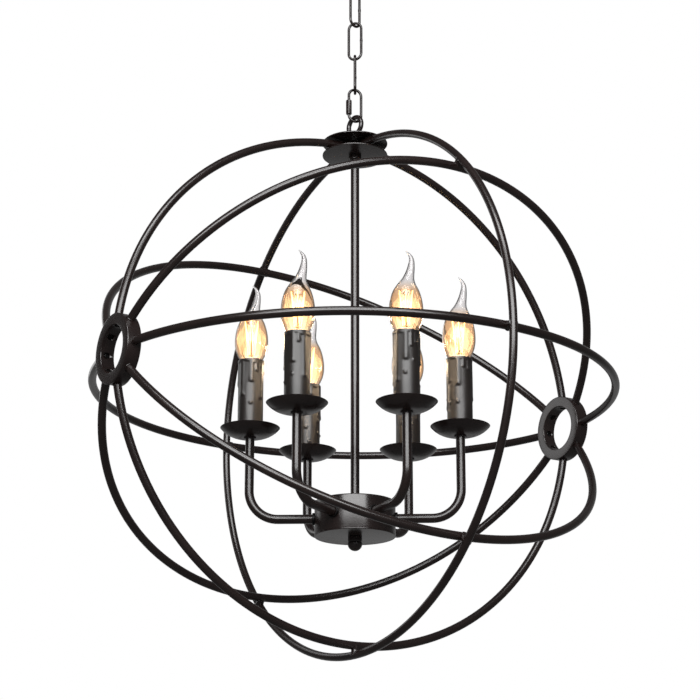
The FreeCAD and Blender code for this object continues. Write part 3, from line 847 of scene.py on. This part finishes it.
def armPath(outward):
    bendStart = arm["circle"] - arm["bendRadius"]
    run = bendStart - arm["inner"]
    path = [outward * (arm["inner"] + run * n / 6) + up * armLevel for n in range(6)]
    for n in range(arm["bendSteps"] + 1):
        angle = math.pi / 2 * n / arm["bendSteps"]
        path.append(outward * (bendStart + arm["bendRadius"] * math.sin(angle))
                    + up * (armLevel + arm["bendRadius"] * (1 - math.cos(angle))))
    foot = outward * arm["circle"]
    bendTop = path[-1].z
    return path + [foot + up * (bendTop + (dishLow.z - bendTop) * n / 4) for n in range(1, 5)]


armWashers = []
for i in range(arm["count"]):
    outward = armOutward(i)
    armTube = tube(armPath(outward), arm["radius"], arm["sides"])
    seatTop = dishLow.z + arm["seatSunk"]
    seatFoot = seatTop - arm["seatHeight"]
    rows = eased([(0.0, seatTop, 0), (arm["seatRadius"], seatTop, 0.2), (arm["seatRadius"], seatFoot, 0.5),
                  (arm["radius"] - 0.2, seatFoot - arm["seatTaper"], 0)])
    seat = lathe(rows, candleSpot(i), up, 40)
    addCoatedSteel("arm" + str(i + 1) + "Tube", [armTube, seat], ["arm_" + str(i + 1)])
    start = drum["radius"] - arm["collarSunk"]
    end = start + arm["collarLength"]
    rows = eased([(arm["collarBore"], start, 0), (arm["collarRadius"], start, 0.3),
                  (arm["collarRadius"], end, 0.7), (arm["collarBore"], end, 0.3)], loop=True)
    armWashers.append(lathe(rows, up * armLevel, outward, 40, loop=True))
addPiece("armWashers", armWashers, blackOxideSteel, "orb", ["arm_collars"])
print("arms made")


# Drip dishes: pressed bowls with a flat middle and a rolled lip.
dish = {
    "radius": 31.0,
    "flatRadius": 9.0,
    "holeRadius": 4.0,
    "depth": 10.5,
    "wall": 1.0,
    "bands": 16,
    "sides": 96,
}


def dishRows():
    run = dish["radius"] - dish["flatRadius"]
    ball = (run * run + dish["depth"] ** 2) / (2 * dish["depth"])
    sweep = math.asin(run / ball)
    wall = dish["wall"]
    under = []
    over = []
    for n in range(dish["bands"] + 1):
        angle = sweep * n / dish["bands"]
        r = dish["flatRadius"] + ball * math.sin(angle)
        z = dishLow.z + ball * (1 - math.cos(angle))
        under.append((r, z))
        if n < dish["bands"]:
            over.append((r - wall * math.sin(angle), z + wall * math.cos(angle)))
    r, z = under[-1]
    lip = [(r - 0.1, z - 0.15), (r, z - 0.02), (r - 0.35, z + 0.25), (r - 0.85, z + 0.1)]
    hole = dish["holeRadius"]
    return [(hole, dishLow.z)] + under[:-1] + lip + over[::-1] + [(hole, dishLow.z + wall)]


dishes = []
for i in range(arm["count"]):
    dishes.append(lathe(dishRows(), candleSpot(i), up, dish["sides"], loop=True))
addCoatedSteel("dripDishes", dishes, ["drip_dishes"])

# Candle sleeves: a tube with a skirt of wax at the rim, runs down from it, and loose drops.
sleeve = {
    "radius": 13.2,           # the drips stand out to 14 mm
    "inside": 12.0,
    "innerDepth": 60.0,
    "rimRound": 0.9,
    "facing": -122.6,         # the first run is near this side, in degrees: it faces the camera
    "seed": 40,
    "runs": 7,
    "drops": 5,
    "skirt": 4.6,
    "skirtWave": 2.4,
    "skirtThick": 0.75,
    "dropThick": 0.9,
    "wave": 0.12,
    "sides": 96,
    "rows": 84,
}
sleeveLow, sleeveHigh = boxMm("candle_sleeves")
sleeveTop = sleeveHigh.z


def around(angle, other):
    return abs((angle - other + math.pi) % (2 * math.pi) - math.pi)


def drawWax(i):
    # runs are (angle, width, length, thickness) and drops (angle, depth below the rim, size)
    draw = random.Random(sleeve["seed"] + i)
    facing = math.radians(sleeve["facing"]) + draw.uniform(-0.35, 0.35)
    runs = [(facing, 2.6, draw.uniform(26, 38), 0.85), (facing + 0.42, 1.9, draw.uniform(12, 20), 0.7)]
    for n in range(sleeve["runs"]):
        runs.append((facing + 0.95 + n * 0.78 + draw.uniform(-0.2, 0.2), draw.uniform(1.6, 2.8),
                     draw.uniform(14, 58), draw.uniform(0.55, 0.9)))
    drops = [(facing - 0.05, draw.uniform(44, 50), 2.0)]
    for n in range(sleeve["drops"]):
        drops.append((draw.uniform(-math.pi, math.pi), draw.uniform(30, 70), draw.uniform(1.0, 1.9)))
    return runs, drops


def waxThickness(angle, depth, runs, drops, salt):
    wander = noise.noise(Vector((math.cos(angle) * 1.7, math.sin(angle) * 1.7, salt)))
    skirt = sleeve["skirt"] + sleeve["skirtWave"] * wander
    thick = sleeve["skirtThick"] * min(1.0, max(0.0, (skirt - depth) / 1.3))
    for spot, width, length, height in runs:
        away = around(angle, spot) * sleeve["radius"] / width
        past = (depth - (length - width)) / width
        if away < 2.2 and past < 1.6:
            # a bead swells at the foot of the run, and ends round
            bead = 1.0 + 0.45 * math.exp(-((depth - length + width) / (1.3 * width)) ** 2)
            end = 1.0 if past < 0 else max(0.0, 1 - past * past) ** 0.5
            thick = max(thick, height * bead * end * math.exp(-away * away * 1.1))
    for spot, drop, size in drops:
        gone = ((around(angle, spot) * sleeve["radius"]) ** 2 + (depth - drop) ** 2) / (size * size)
        if gone < 1:
            thick = max(thick, sleeve["dropThick"] * math.sqrt(1 - gone))
    return thick


def sleeveShape(i):
    base = candleSpot(i)
    beside = Vector((0, 1, 0))
    sides = sleeve["sides"]
    inside = sleeve["inside"]
    rimRound = sleeve["rimRound"]
    runs, drops = drawWax(i)
    rings = []
    for r, down in ((inside, sleeve["innerDepth"]), (inside, 1.0), (inside + 0.25, 0.2)):
        rings.append(ringAt(base + up * (sleeveTop - down), hubAxis, beside, r, sides))
    for n in range(sleeve["rows"] + 1):
        depth = (sleeveTop - sleeveLow.z) * (n / sleeve["rows"]) ** 1.15      # closer rows at the rim
        ring = []
        for m in range(sides):
            angle = 2 * math.pi * m / sides
            ripple = noise.noise(Vector((math.cos(angle) * 2.5, math.sin(angle) * 2.5, depth / 22 + i * 9)))
            r = sleeve["radius"] + sleeve["wave"] * ripple
            r += waxThickness(angle, depth, runs, drops, i * 5.0)
            if depth < rimRound:
                r -= rimRound - math.sqrt(max(0.0, rimRound ** 2 - (rimRound - depth) ** 2))
            ring.append(base + Vector((r * math.cos(angle), r * math.sin(angle), sleeveTop - depth)))
        rings.append(ring)
    rings.append(ringAt(base + up * sleeveLow.z, hubAxis, beside, inside, sides))
    return skin(rings, loop=True)


sleeves = [sleeveShape(i) for i in range(arm["count"])]
addPiece("waxDripSleeves", sleeves, candlePlastic, "orb", ["candle_sleeves"], sharp=60)

# Lampholder: a moulded core with a socket for the screw cap and a hole for its wires.
holder = {
    "radius": 11.0,
    "socketRadius": 7.3,
    "socketDepth": 25.0,
    "wireHole": 4.0,
}
low, high = boxMm("lampholders")
socket = holder["socketRadius"]
socketFloor = high.z - holder["socketDepth"]
rows = eased([(socket, high.z, 0.4), (holder["radius"], high.z, 0.8), (holder["radius"], low.z, 0.5),
              (holder["wireHole"], low.z, 0), (holder["wireHole"], socketFloor, 0),
              (socket, socketFloor, 0)], loop=True)
holders = []
for i in range(arm["count"]):
    holders.append(lathe(rows, candleSpot(i), up, 40, loop=True))
addPiece("lampholderCores", holders, holderPlastic, "orb", ["lampholders"])
print("dishes, sleeves and lampholders made")


# Bulbs: flame-shaped glass with a curled tip, a screw cap, and strands held by wires on a glass flare.
bulb = {
    "radius": 17.5,
    "length": 88.0,
    "lengthShares": (1.0, 0.99, 0.98, 1.04, 1.01, 1.06),    # the tips are drawn by hand, so they differ
    "wall": 0.8,
    "sealRadius": 1.4,        # where the drawn tip is thinner than this it is solid
    "sink": 2.5,
    "tipTurn": -32.6,
    "tipLean": 6.0,
    # share of the radius, share of the length, share of the lean
    "outline": [(0.52, 0.00, 0.0), (0.64, 0.03, 0.0), (0.78, 0.08, 0.0), (0.91, 0.14, 0.0),
                (0.985, 0.21, 0.0), (1.0, 0.28, 0.0), (0.97, 0.36, 0.0), (0.89, 0.44, 0.0),
                (0.75, 0.52, 0.02), (0.55, 0.59, 0.10), (0.385, 0.65, 0.32), (0.295, 0.71, 0.58),
                (0.24, 0.77, 0.80), (0.195, 0.83, 0.94), (0.155, 0.885, 1.0), (0.12, 0.93, 0.86),
                (0.09, 0.965, 0.55), (0.05, 0.99, 0.2), (0.0, 1.0, 0.05)],
    "glassSides": 48,
    "capRadius": 6.9,
    "capLength": 24.0,
    # radius and height of the contact and its insulator, above the foot of the cap
    "contact": [(0.0, 0.0), (2.2, 0.0), (2.5, 0.6), (4.0, 1.6), (5.2, 3.0)],
    "threadMm": 2.8,
    "threadTurns": 6,
    "threadDepth": 0.45,
    "threadFoot": 3.6,
    # radius and height of the glass flare, above the foot of the glass, as are the heights below
    "flare": [(0.0, 0.3), (5.6, 0.3), (3.6, 3.0), (2.3, 6.0), (2.1, 9.0), (1.6, 12.5), (0.0, 13.2)],
    "strands": 6,
    "strandRadius": 0.6,
    "strandLow": 9.0,
    "strandHigh": 45.0,
    "strandLowRadius": 3.4,
    "strandHighRadius": 7.6,
    "wireRadius": 0.28,
    "hookWireRadius": 0.2,
    "postRadius": 0.55,
    "lampHeight": 30.0,
    "lampRadiusMm": 12.0,
    "lampWatts": 0.2,
    "lampColour": "#ffdfb8",
}
glassFoot = sleeveTop - bulb["sink"]


def smoothRows(rows, steps):
    # smooth curve that passes through every row
    out = []
    for k in range(len(rows) - 1):
        p0 = Vector(rows[max(k - 1, 0)])
        p1 = Vector(rows[k])
        p2 = Vector(rows[k + 1])
        p3 = Vector(rows[min(k + 2, len(rows) - 1)])
        for n in range(steps):
            t = n / steps
            out.append(0.5 * (2 * p1 + (p2 - p0) * t + (2 * p0 - 5 * p1 + 4 * p2 - p3) * t * t
                              + (3 * p1 - p0 - 3 * p2 + p3) * t ** 3))
    out.append(Vector(rows[-1]))
    return out


def bulbShell(foot, length):
    lean = turnDirection(bulb["tipTurn"])
    beside = up.cross(lean)
    sides = bulb["glassSides"]
    outer = []
    inner = []
    for share, height, bend in smoothRows(bulb["outline"], 4):
        centre = foot + up * (glassFoot + height * length) + lean * (bend * bulb["tipLean"])
        radius = max(share * bulb["radius"], 0.0)
        outer.append(ringAt(centre, lean, beside, radius, sides))
        if radius > bulb["sealRadius"]:
            hollow = radius - min(bulb["wall"], radius * 0.25)
            inner.append(ringAt(centre, lean, beside, hollow, sides))
    middle = sum(inner[-1], Vector()) / sides
    inner.append([middle + up * 0.4] * sides)
    return skin(outer + inner[::-1], loop=True)


def screwCap(foot):
    low = glassFoot - bulb["capLength"]
    rows = [(r, low + z) for r, z in bulb["contact"]]
    steps = 6                                  # in one turn of the thread
    for n in range(bulb["threadTurns"] * steps + 1):
        valley = bulb["threadDepth"] * (1 + math.cos(2 * math.pi * n / steps)) / 2
        level = low + bulb["threadFoot"] + n * bulb["threadMm"] / steps
        rows.append((bulb["capRadius"] - valley, level))
    rows += [(bulb["capRadius"], glassFoot - 2.0), (bulb["capRadius"], glassFoot + 0.2),
             (0.0, glassFoot + 0.2)]
    return lathe(rows, foot, up, 40)


def strandsAndWires(foot):
    count = bulb["strands"]
    base = foot + up * glassFoot
    lowRing = []
    highRing = []
    for n in range(count):
        lowSide = turnDirection(bulb["tipTurn"] + 360 / count * n)
        highSide = turnDirection(bulb["tipTurn"] + 360 / count * (n + 0.5))
        lowRing.append(base + lowSide * bulb["strandLowRadius"] + up * bulb["strandLow"])
        highRing.append(base + highSide * bulb["strandHighRadius"] + up * bulb["strandHigh"])
    strands = []
    wires = []
    hook = base + up * (bulb["strandHigh"] - 8)
    for n in range(count):
        low = lowRing[n]
        high = highRing[n]
        across = highRing[(n + 1) % count] + up * 0.4
        strands.append(tube([low, high], bulb["strandRadius"], 10, tipRound=0.4))
        wires.append(tube([high, across], bulb["wireRadius"], 8))
        wires.append(tube([hook, (hook + high) / 2 + up * 5.5, high + up * 0.6], bulb["hookWireRadius"], 8))
        wires.append(tube([base + up * 8, low], bulb["wireRadius"], 8))
    post = [base + up * 10, hook + up * 0.5]
    wires.append(tube(post, bulb["postRadius"], 10))
    return strands, wires


def letLightThrough(glass):
    # the lamp in the bulb isn't shaded by its own glass, and the glass isn't seen as specks in other gloss
    glass.visible_shadow = False
    glass.visible_glossy = False
    glass.visible_diffuse = False


def addBulbLamp(name, foot, body):
    lamp = bpy.data.lights.new(name, "POINT")
    lamp.energy = bulb["lampWatts"]
    lamp.color = linearColour(bulb["lampColour"])[:3]
    lamp.shadow_soft_size = bulb["lampRadiusMm"] * 0.001
    lampObject = bpy.data.objects.new(name, lamp)
    bpy.context.scene.collection.objects.link(lampObject)
    lampObject.location = (foot + up * (glassFoot + bulb["lampHeight"])) * 0.001
    lampObject.visible_camera = False
    lampObject.visible_transmission = False
    lampObject.light_linking.receiver_collection = candleSide
    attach(lampObject, body)


def addBulb(i):
    foot = candleSpot(i)
    number = str(i + 1)
    name = "bulb" + number
    body = "bulb_" + number
    shell = bulbShell(foot, bulb["length"] * bulb["lengthShares"][i])
    glass = addPiece(name + "Glass", [shell], bulbGlassMaterial, body,
                     ["bulb_glass_" + number], sharp=80)
    letLightThrough(glass)
    addPiece(name + "Cap", [screwCap(foot)], nickelBrass, body, ["bulb_base_" + number])
    rows = [(r, glassFoot + z) for r, z in bulb["flare"]]
    flare = addPiece(name + "Flare", [lathe(rows, foot, up, 24)], flareGlass, body, sharp=80)
    letLightThrough(flare)
    strands, wires = strandsAndWires(foot)
    filament = addPiece(name + "Filament", strands, filamentMaterial, body)
    filament.visible_glossy = False            # the bulb's lamp does its lighting, with less noise
    filament.visible_diffuse = False
    addPiece(name + "Supports", wires, supportWireMetal, body)
    addBulbLamp(name + "Light", foot, body)


# The bulb lamps light the candles and their glass only: so small a lamp puts nothing but speckle on the bars.
candleSide = bpy.data.collections.new("candleSide")
for i in range(arm["count"]):
    addBulb(i)
for piece in bpy.data.objects:
    if piece.type == "MESH" and piece.name.startswith(("bulb", "waxDripSleeves")):
        candleSide.objects.link(piece)
print("bulbs made")


# Chain links: welded ovals of round wire.
chain = {
    "length": 46.6,
    "width": 17.2,
    "wire": 2.9,
    "turns": (14.0, -50.0, 56.0),
    "weldSwell": 0.25,
}


def linkPath(top, values, turn, gap=None):
    # upright oval from half way up the strand on the turn's side, round and back; gap is (low, high)
    side = turnDirection(turn)
    bow = (values["width"] - values["wire"]) / 2
    upper = top - values["wire"] / 2 - bow
    lower = top - values["length"] + values["wire"] / 2 + bow
    middle = (upper + lower) / 2
    openLow, openHigh = gap or (middle, middle)
    bend = 18                                  # steps in each half turn
    straight = 6                               # steps in half of a strand
    path = []
    for n in range(straight):
        path.append(side * bow + up * (openHigh + (upper - openHigh) * n / straight))
    for n in range(bend + 1):
        a = math.pi * n / bend
        path.append(side * (bow * math.cos(a)) + up * (upper + bow * math.sin(a)))
    for n in range(1, 2 * straight):
        path.append(side * -bow + up * (upper + (lower - upper) * n / (2 * straight)))
    for n in range(bend + 1):
        a = math.pi + math.pi * n / bend
        path.append(side * (bow * math.cos(a)) + up * (lower + bow * math.sin(a)))
    for n in range(1, straight if gap is None else straight + 1):
        path.append(side * bow + up * (lower + (openLow - lower) * n / straight))
    return path


for k, turn in enumerate(chain["turns"]):
    number = str(k + 1)
    path = linkPath(boxMm("chain_link_" + number)[1].z, chain, turn)
    radii = [chain["wire"] / 2] * len(path)
    radii[0] += chain["weldSwell"]       # butt weld in the middle of one strand
    addCoatedSteel("chainLink" + number, [tube(path, radii, 20, loop=True)], ["chain_link_" + number],
                   "link_" + number)

# Quick link: an open bow, threaded at both sides of the gap, and the sleeve nut that closes it.
quick = {
    "length": 40.3,
    "width": 17.0,
    "wire": 3.0,
    "turn": 166.0,
    "gapLow": 0.8,            # above the foot of the nut
    "gapHigh": 5.0,
    "threadPitch": 0.6,
    "threadCrest": 0.12,
    "threadRoot": -0.05,
    "threadBelow": 0.4,       # how far the threads run out past the nut
    "threadAbove": 0.6,
    "nutRadius": 3.3,
    "nutBore": 1.7,
    "nutHex": 1.5,            # from each end of the nut to its flats
}
nutLow, nutHigh = boxMm("quick_link_nut")
gapLow = nutLow.z + quick["gapLow"]
gapHigh = nutLow.z + quick["gapHigh"]
path = linkPath(boxMm("quick_link")[1].z, quick, quick["turn"], (gapLow, gapHigh))
wireRadius = quick["wire"] / 2
quickShapes = [tube(path, wireRadius, 20, tipRound=0.3)]
strand = turnDirection(quick["turn"]) * ((quick["width"] - quick["wire"]) / 2)
threads = ((nutLow.z - quick["threadBelow"], gapLow), (gapHigh, nutHigh.z + quick["threadAbove"]))
for low, high in threads:
    rows = []
    turns = max(1, round((high - low) / quick["threadPitch"]))
    for n in range(turns * 2 + 1):
        depth = quick["threadCrest"] if n % 2 else quick["threadRoot"]
        rows.append((wireRadius + depth, low + (high - low) * n / (turns * 2)))
    quickShapes.append(lathe(rows, strand, up, 20))
addCoatedSteel("quickLinkBow", quickShapes, ["quick_link"], "quick_link_body")
r = quick["nutRadius"]
bore = quick["nutBore"]
rows = [(bore, nutLow.z), (r * 0.82, nutLow.z), (r * 0.93, nutLow.z + 0.5),
        (r, nutLow.z + quick["nutHex"], 6), (r, nutHigh.z - quick["nutHex"], 6),
        (r * 0.93, nutHigh.z - 0.5), (r * 0.82, nutHigh.z), (bore, nutHigh.z)]
addCoatedSteel("quickLinkSleeveNut", [lathe(rows, strand, up, 48, loop=True)], ["quick_link_nut"],
               "quick_nut", sharp=25)

# Canopy: a spun dome with a short straight lip, and its screw loop.
canopy = {
    "radius": 62.0,
    "wall": 1.2,
    "footRadius": 18.0,
    "holeRadius": 5.1,
    "lip": 4.0,
    "domeSteps": 24,
    "sides": 160,
    "loopWire": 5.0,
    "loopRadius": 13.0,
    "loopTurn": -75.0,
    "bossRadius": 7.0,
}
low, high = boxMm("ceiling_canopy")
lipFoot = high.z - canopy["lip"]
wall = canopy["wall"]
hole = canopy["holeRadius"]
outer = [(canopy["radius"], high.z), (canopy["radius"], lipFoot)]
for n in range(1, canopy["domeSteps"] + 1):
    a = math.pi / 2 * n / canopy["domeSteps"]
    reach = canopy["footRadius"] + (canopy["radius"] - canopy["footRadius"]) * math.cos(a)
    outer.append((reach, lipFoot - (lipFoot - low.z) * math.sin(a)))
inner = [(max(r - wall, hole), min(z + wall, high.z)) for r, z in outer[::-1]]
inner[-1] = (canopy["radius"] - wall, high.z)
rows = outer + [(hole, low.z), (hole, low.z + wall)] + inner
addCoatedSteel("canopyDome", [lathe(rows, sides=canopy["sides"], loop=True)], ["ceiling_canopy"],
               "ceiling_set")
loopPiece("canopyLoopRing", "canopy_loop", canopy, "ceiling_set", low.z, 1)

# Threaded fasteners, drawn with rings for their threads.
fastener = {
    "pitch": 1.0,
    "threadDepth": 0.35,
    "chamfer": 0.7,
    "chamferShare": 0.88,
    "nippleBore": 3.0,
    "nippleNutBore": 5.0,
    "lockNutBore": 4.8,
}


def threadedRod(name, node, bore, body):
    low, high = boxMm(node)
    radius = max(high.x, high.y)
    rows = []
    turns = int((high.z - low.z) / fastener["pitch"])
    for n in range(turns * 2 + 1):
        depth = fastener["threadDepth"] if n % 2 else 0.0
        rows.append((radius - depth, low.z + (high.z - low.z) * n / (turns * 2)))
    if bore:
        shape = lathe(rows + [(bore, high.z), (bore, low.z)], sides=32, loop=True)
    else:
        shape = lathe([(0.0, low.z)] + rows + [(0.0, high.z)], sides=32)
    addPiece(name, [shape], zincPlatedSteel, body, [node], sharp=20)


def hexNut(name, node, bore, body):
    low, high = boxMm(node)
    radius = (high.x - low.x) / 2
    face = radius * fastener["chamferShare"]
    rows = [(bore, low.z), (face, low.z), (radius, low.z + fastener["chamfer"], 6),
            (radius, high.z - fastener["chamfer"], 6), (face, high.z), (bore, high.z)]
    addPiece(name, [lathe(rows, sides=48, loop=True)], zincPlatedSteel, body, [node], sharp=20)


threadedRod("canopyNipple", "canopy_nipple", fastener["nippleBore"], "ceiling_set")
threadedRod("bodyRod", "centre_rod", 0, "orb")
hexNut("nippleNut", "nipple_nut", fastener["nippleNutBore"], "ceiling_set")
hexNut("stemLockNut", "stem_lock_nut", fastener["lockNutBore"], "orb")

# Twist-on wire caps inside the body: a hexagonal skirt that runs into a round nose.
wireCap = {
    "count": 3,
    "mouthRadius": 4.4,
    "skirtRadius": 4.2,
    "skirtHeight": 8.4,
    "noseRadius": 2.9,
    "endRadius": 2.2,
}
low, high = boxMm("wire_caps")
rows = [(0.0, low.z), (wireCap["mouthRadius"], low.z, 6),
        (wireCap["skirtRadius"], low.z + wireCap["skirtHeight"], 6),
        (wireCap["noseRadius"], high.z - 1.0), (wireCap["endRadius"], high.z), (0.0, high.z)]
caps = []
for n in range(wireCap["count"]):
    spot = turnDirection(360 / wireCap["count"] * n) * (drum["radius"] / 2)
    caps.append(lathe(rows, spot, up, 36))
addPiece("twistWireCaps", caps, wireCapPlastic, "orb", ["wire_caps"])

# the strap keeps its CAD shape and only gets its finish
strapMesh = frame["nodes"]["mounting_strap"].data
strapMesh.materials.clear()
strapMesh.materials.append(zincPlatedSteel)
print("chain and ceiling fitting made")


# Floor, world and lamps: a pale studio, white behind the part.
studio = {
    "floorZ": -2.35,
    "floorHalf": 40.0,
    "floorColour": "#e9e8e6",
    "floorGlow": 0.72,
    "ambient": 0.2,
    "roomStrength": 0.08,
    "backdropStrength": 0.34,
    "backdropDirection": (0.53, 0.83, 0.15),
    "backdropFrom": 0.6,      # cosines of the turn away from that direction
    "backdropFull": 0.92,
}


# Matt emulsion paint on a level floor: pale and even, with hardly any sheen.
def makeFloorPaint(name, values):
    material, tree, shader = startMaterial(name, {
        "Base Color": linearColour(values["floorColour"]),
        "Roughness": 0.8,
        "Specular IOR Level": 0.2,
        "Emission Color": linearColour("#ffffff"),
    })
    # the backdrop's own light on the floor: only seen, or seen through glass, so it doesn't reach the part
    rays = addNode(tree, "ShaderNodeLightPath")
    seen = addNode(tree, "ShaderNodeMath", {"operation": "MAXIMUM"}, {
        0: rays.outputs["Is Camera Ray"],
        1: rays.outputs["Is Transmission Ray"],
    })
    glow = addNode(tree, "ShaderNodeMath", {"operation": "MULTIPLY", 1: values["floorGlow"]}, {
        0: seen.outputs["Value"],
    })
    tree.links.new(glow.outputs["Value"], shader.inputs["Emission Strength"])
    return material


half = studio["floorHalf"]
z = studio["floorZ"]
floorMesh = bpy.data.meshes.new("studioFloor")
floorMesh.from_pydata([(-half, -half, z), (half, -half, z), (half, half, z), (-half, half, z)], [],
                      [(0, 1, 2, 3)])
floorMesh.materials.append(makeFloorPaint("mattPaintedFloor", studio))
floor = bpy.data.objects.new("studioFloor", floorMesh)
bpy.context.scene.collection.objects.link(floor)
floor.visible_glossy = False                   # the undersides mirror the dim room, not the floor

world = bpy.data.worlds.new("paleStudio")
bpy.context.scene.world = world
world.use_nodes = True
worldTree = world.node_tree
background = worldTree.nodes["Background"]
background.inputs["Color"].default_value = (1.0, 1.0, 1.0, 1.0)
rays = addNode(worldTree, "ShaderNodeLightPath")
seen = addNode(worldTree, "ShaderNodeMath", {"operation": "MAXIMUM"}, {
    0: rays.outputs["Is Camera Ray"],
    1: rays.outputs["Is Transmission Ray"],
})
# the white backdrop hangs behind the part, and the rest of the room is dim, so gloss has dark and light in it
skyPlace = addNode(worldTree, "ShaderNodeTexCoord")
backdropSide = addNode(worldTree, "ShaderNodeVectorMath", {
    "operation": "DOT_PRODUCT",
    1: studio["backdropDirection"],
}, {0: skyPlace.outputs["Generated"]})
backdropShare = addNode(worldTree, "ShaderNodeMapRange", {
    "From Min": studio["backdropFrom"],
    "From Max": studio["backdropFull"],
    "To Min": studio["roomStrength"],
    "To Max": studio["backdropStrength"],
}, {"Value": backdropSide.outputs["Value"]})
inGloss = addNode(worldTree, "ShaderNodeMath", {"operation": "MULTIPLY"}, {
    0: rays.outputs["Is Glossy Ray"],
    1: backdropShare.outputs["Result"],
})
shown = addNode(worldTree, "ShaderNodeMath", {"operation": "MAXIMUM"}, {
    0: seen.outputs["Value"],
    1: inGloss.outputs["Value"],
})
ambient = addNode(worldTree, "ShaderNodeMath", {"operation": "MULTIPLY", 1: studio["ambient"]}, {
    0: rays.outputs["Is Diffuse Ray"],
})
strength = addNode(worldTree, "ShaderNodeMath", {"operation": "MAXIMUM"}, {
    0: shown.outputs["Value"],
    1: ambient.outputs["Value"],
})
worldTree.links.new(strength.outputs["Value"], background.inputs["Strength"])

lampsPlan = [
    # name, turn from X and climb in degrees, metres from the orb, width, height, watts
    ("wideSoftbox", -124.0, 20.0, 2.1, 2.7, 0.9, 46.0),
    ("highSoftbox", -126.0, 50.0, 2.2, 1.7, 0.5, 19.0),
    ("sideStrip", 112.0, 17.7, 0.77, 0.25, 0.4, 0.4),
]
for name, turn, climb, distance, width, height, watts in lampsPlan:
    climbAngle = math.radians(climb)
    place = (turnDirection(turn) * math.cos(climbAngle) + up * math.sin(climbAngle)) * distance
    lamp = bpy.data.lights.new(name, "AREA")
    lamp.shape = "RECTANGLE"
    lamp.size = width
    lamp.size_y = height
    lamp.energy = watts
    lampObject = bpy.data.objects.new(name, lamp)
    bpy.context.scene.collection.objects.link(lampObject)
    lampObject.location = orbCentre * 0.001 + place
    lampObject.rotation_euler = (-place).to_track_quat("-Z", "Y").to_euler()
    lampObject.visible_camera = False

# Camera, fitted to the photo: it looks past the orb's centre so that this falls on its own pixel.
cameraValues = {
    "azimuth": 32.6,
    "drop": 16.2,             # degrees that the camera is below the orb's centre
    "distanceMm": 2119.6,
    "focalPixels": 2033.0,
    "imagePixels": 700,
    "orbPixel": (355.0, 391.9),
    "sensorMm": 36.0,
}
azimuth = math.radians(cameraValues["azimuth"])
dropAngle = math.radians(cameraValues["drop"])
towardCamera = Vector((-math.sin(azimuth) * math.cos(dropAngle), -math.cos(azimuth) * math.cos(dropAngle),
                       -math.sin(dropAngle)))
eye = orbCentre * 0.001 + towardCamera * (cameraValues["distanceMm"] * 0.001)
forward = -towardCamera
right = Vector((math.cos(azimuth), -math.sin(azimuth), 0))
above = right.cross(forward)
middlePixel = cameraValues["imagePixels"] / 2
aside = (cameraValues["orbPixel"][0] - middlePixel) / cameraValues["focalPixels"]
below = (middlePixel - cameraValues["orbPixel"][1]) / cameraValues["focalPixels"]
pitch = math.atan2(below, math.sqrt(1 + aside * aside))
yaw = math.atan(aside)
tilted = forward * math.cos(pitch) - above * math.sin(pitch)
aboveTilted = above * math.cos(pitch) + forward * math.sin(pitch)
aim = tilted * math.cos(yaw) - right * math.sin(yaw)
rightTilted = right * math.cos(yaw) + tilted * math.sin(yaw)
cameraData = bpy.data.cameras.new("photoCamera")
cameraData.sensor_width = cameraValues["sensorMm"]
cameraData.lens = cameraValues["focalPixels"] / cameraValues["imagePixels"] * cameraValues["sensorMm"]
cameraData.clip_end = 100.0
camera = bpy.data.objects.new("photoCamera", cameraData)
bpy.context.scene.collection.objects.link(camera)
basis = Matrix((rightTilted, aboveTilted, -aim)).transposed()
camera.matrix_world = Matrix.Translation(eye) @ basis.to_4x4()
bpy.context.scene.camera = camera
bpy.context.scene.view_settings.view_transform = "Standard"
print("studio made")
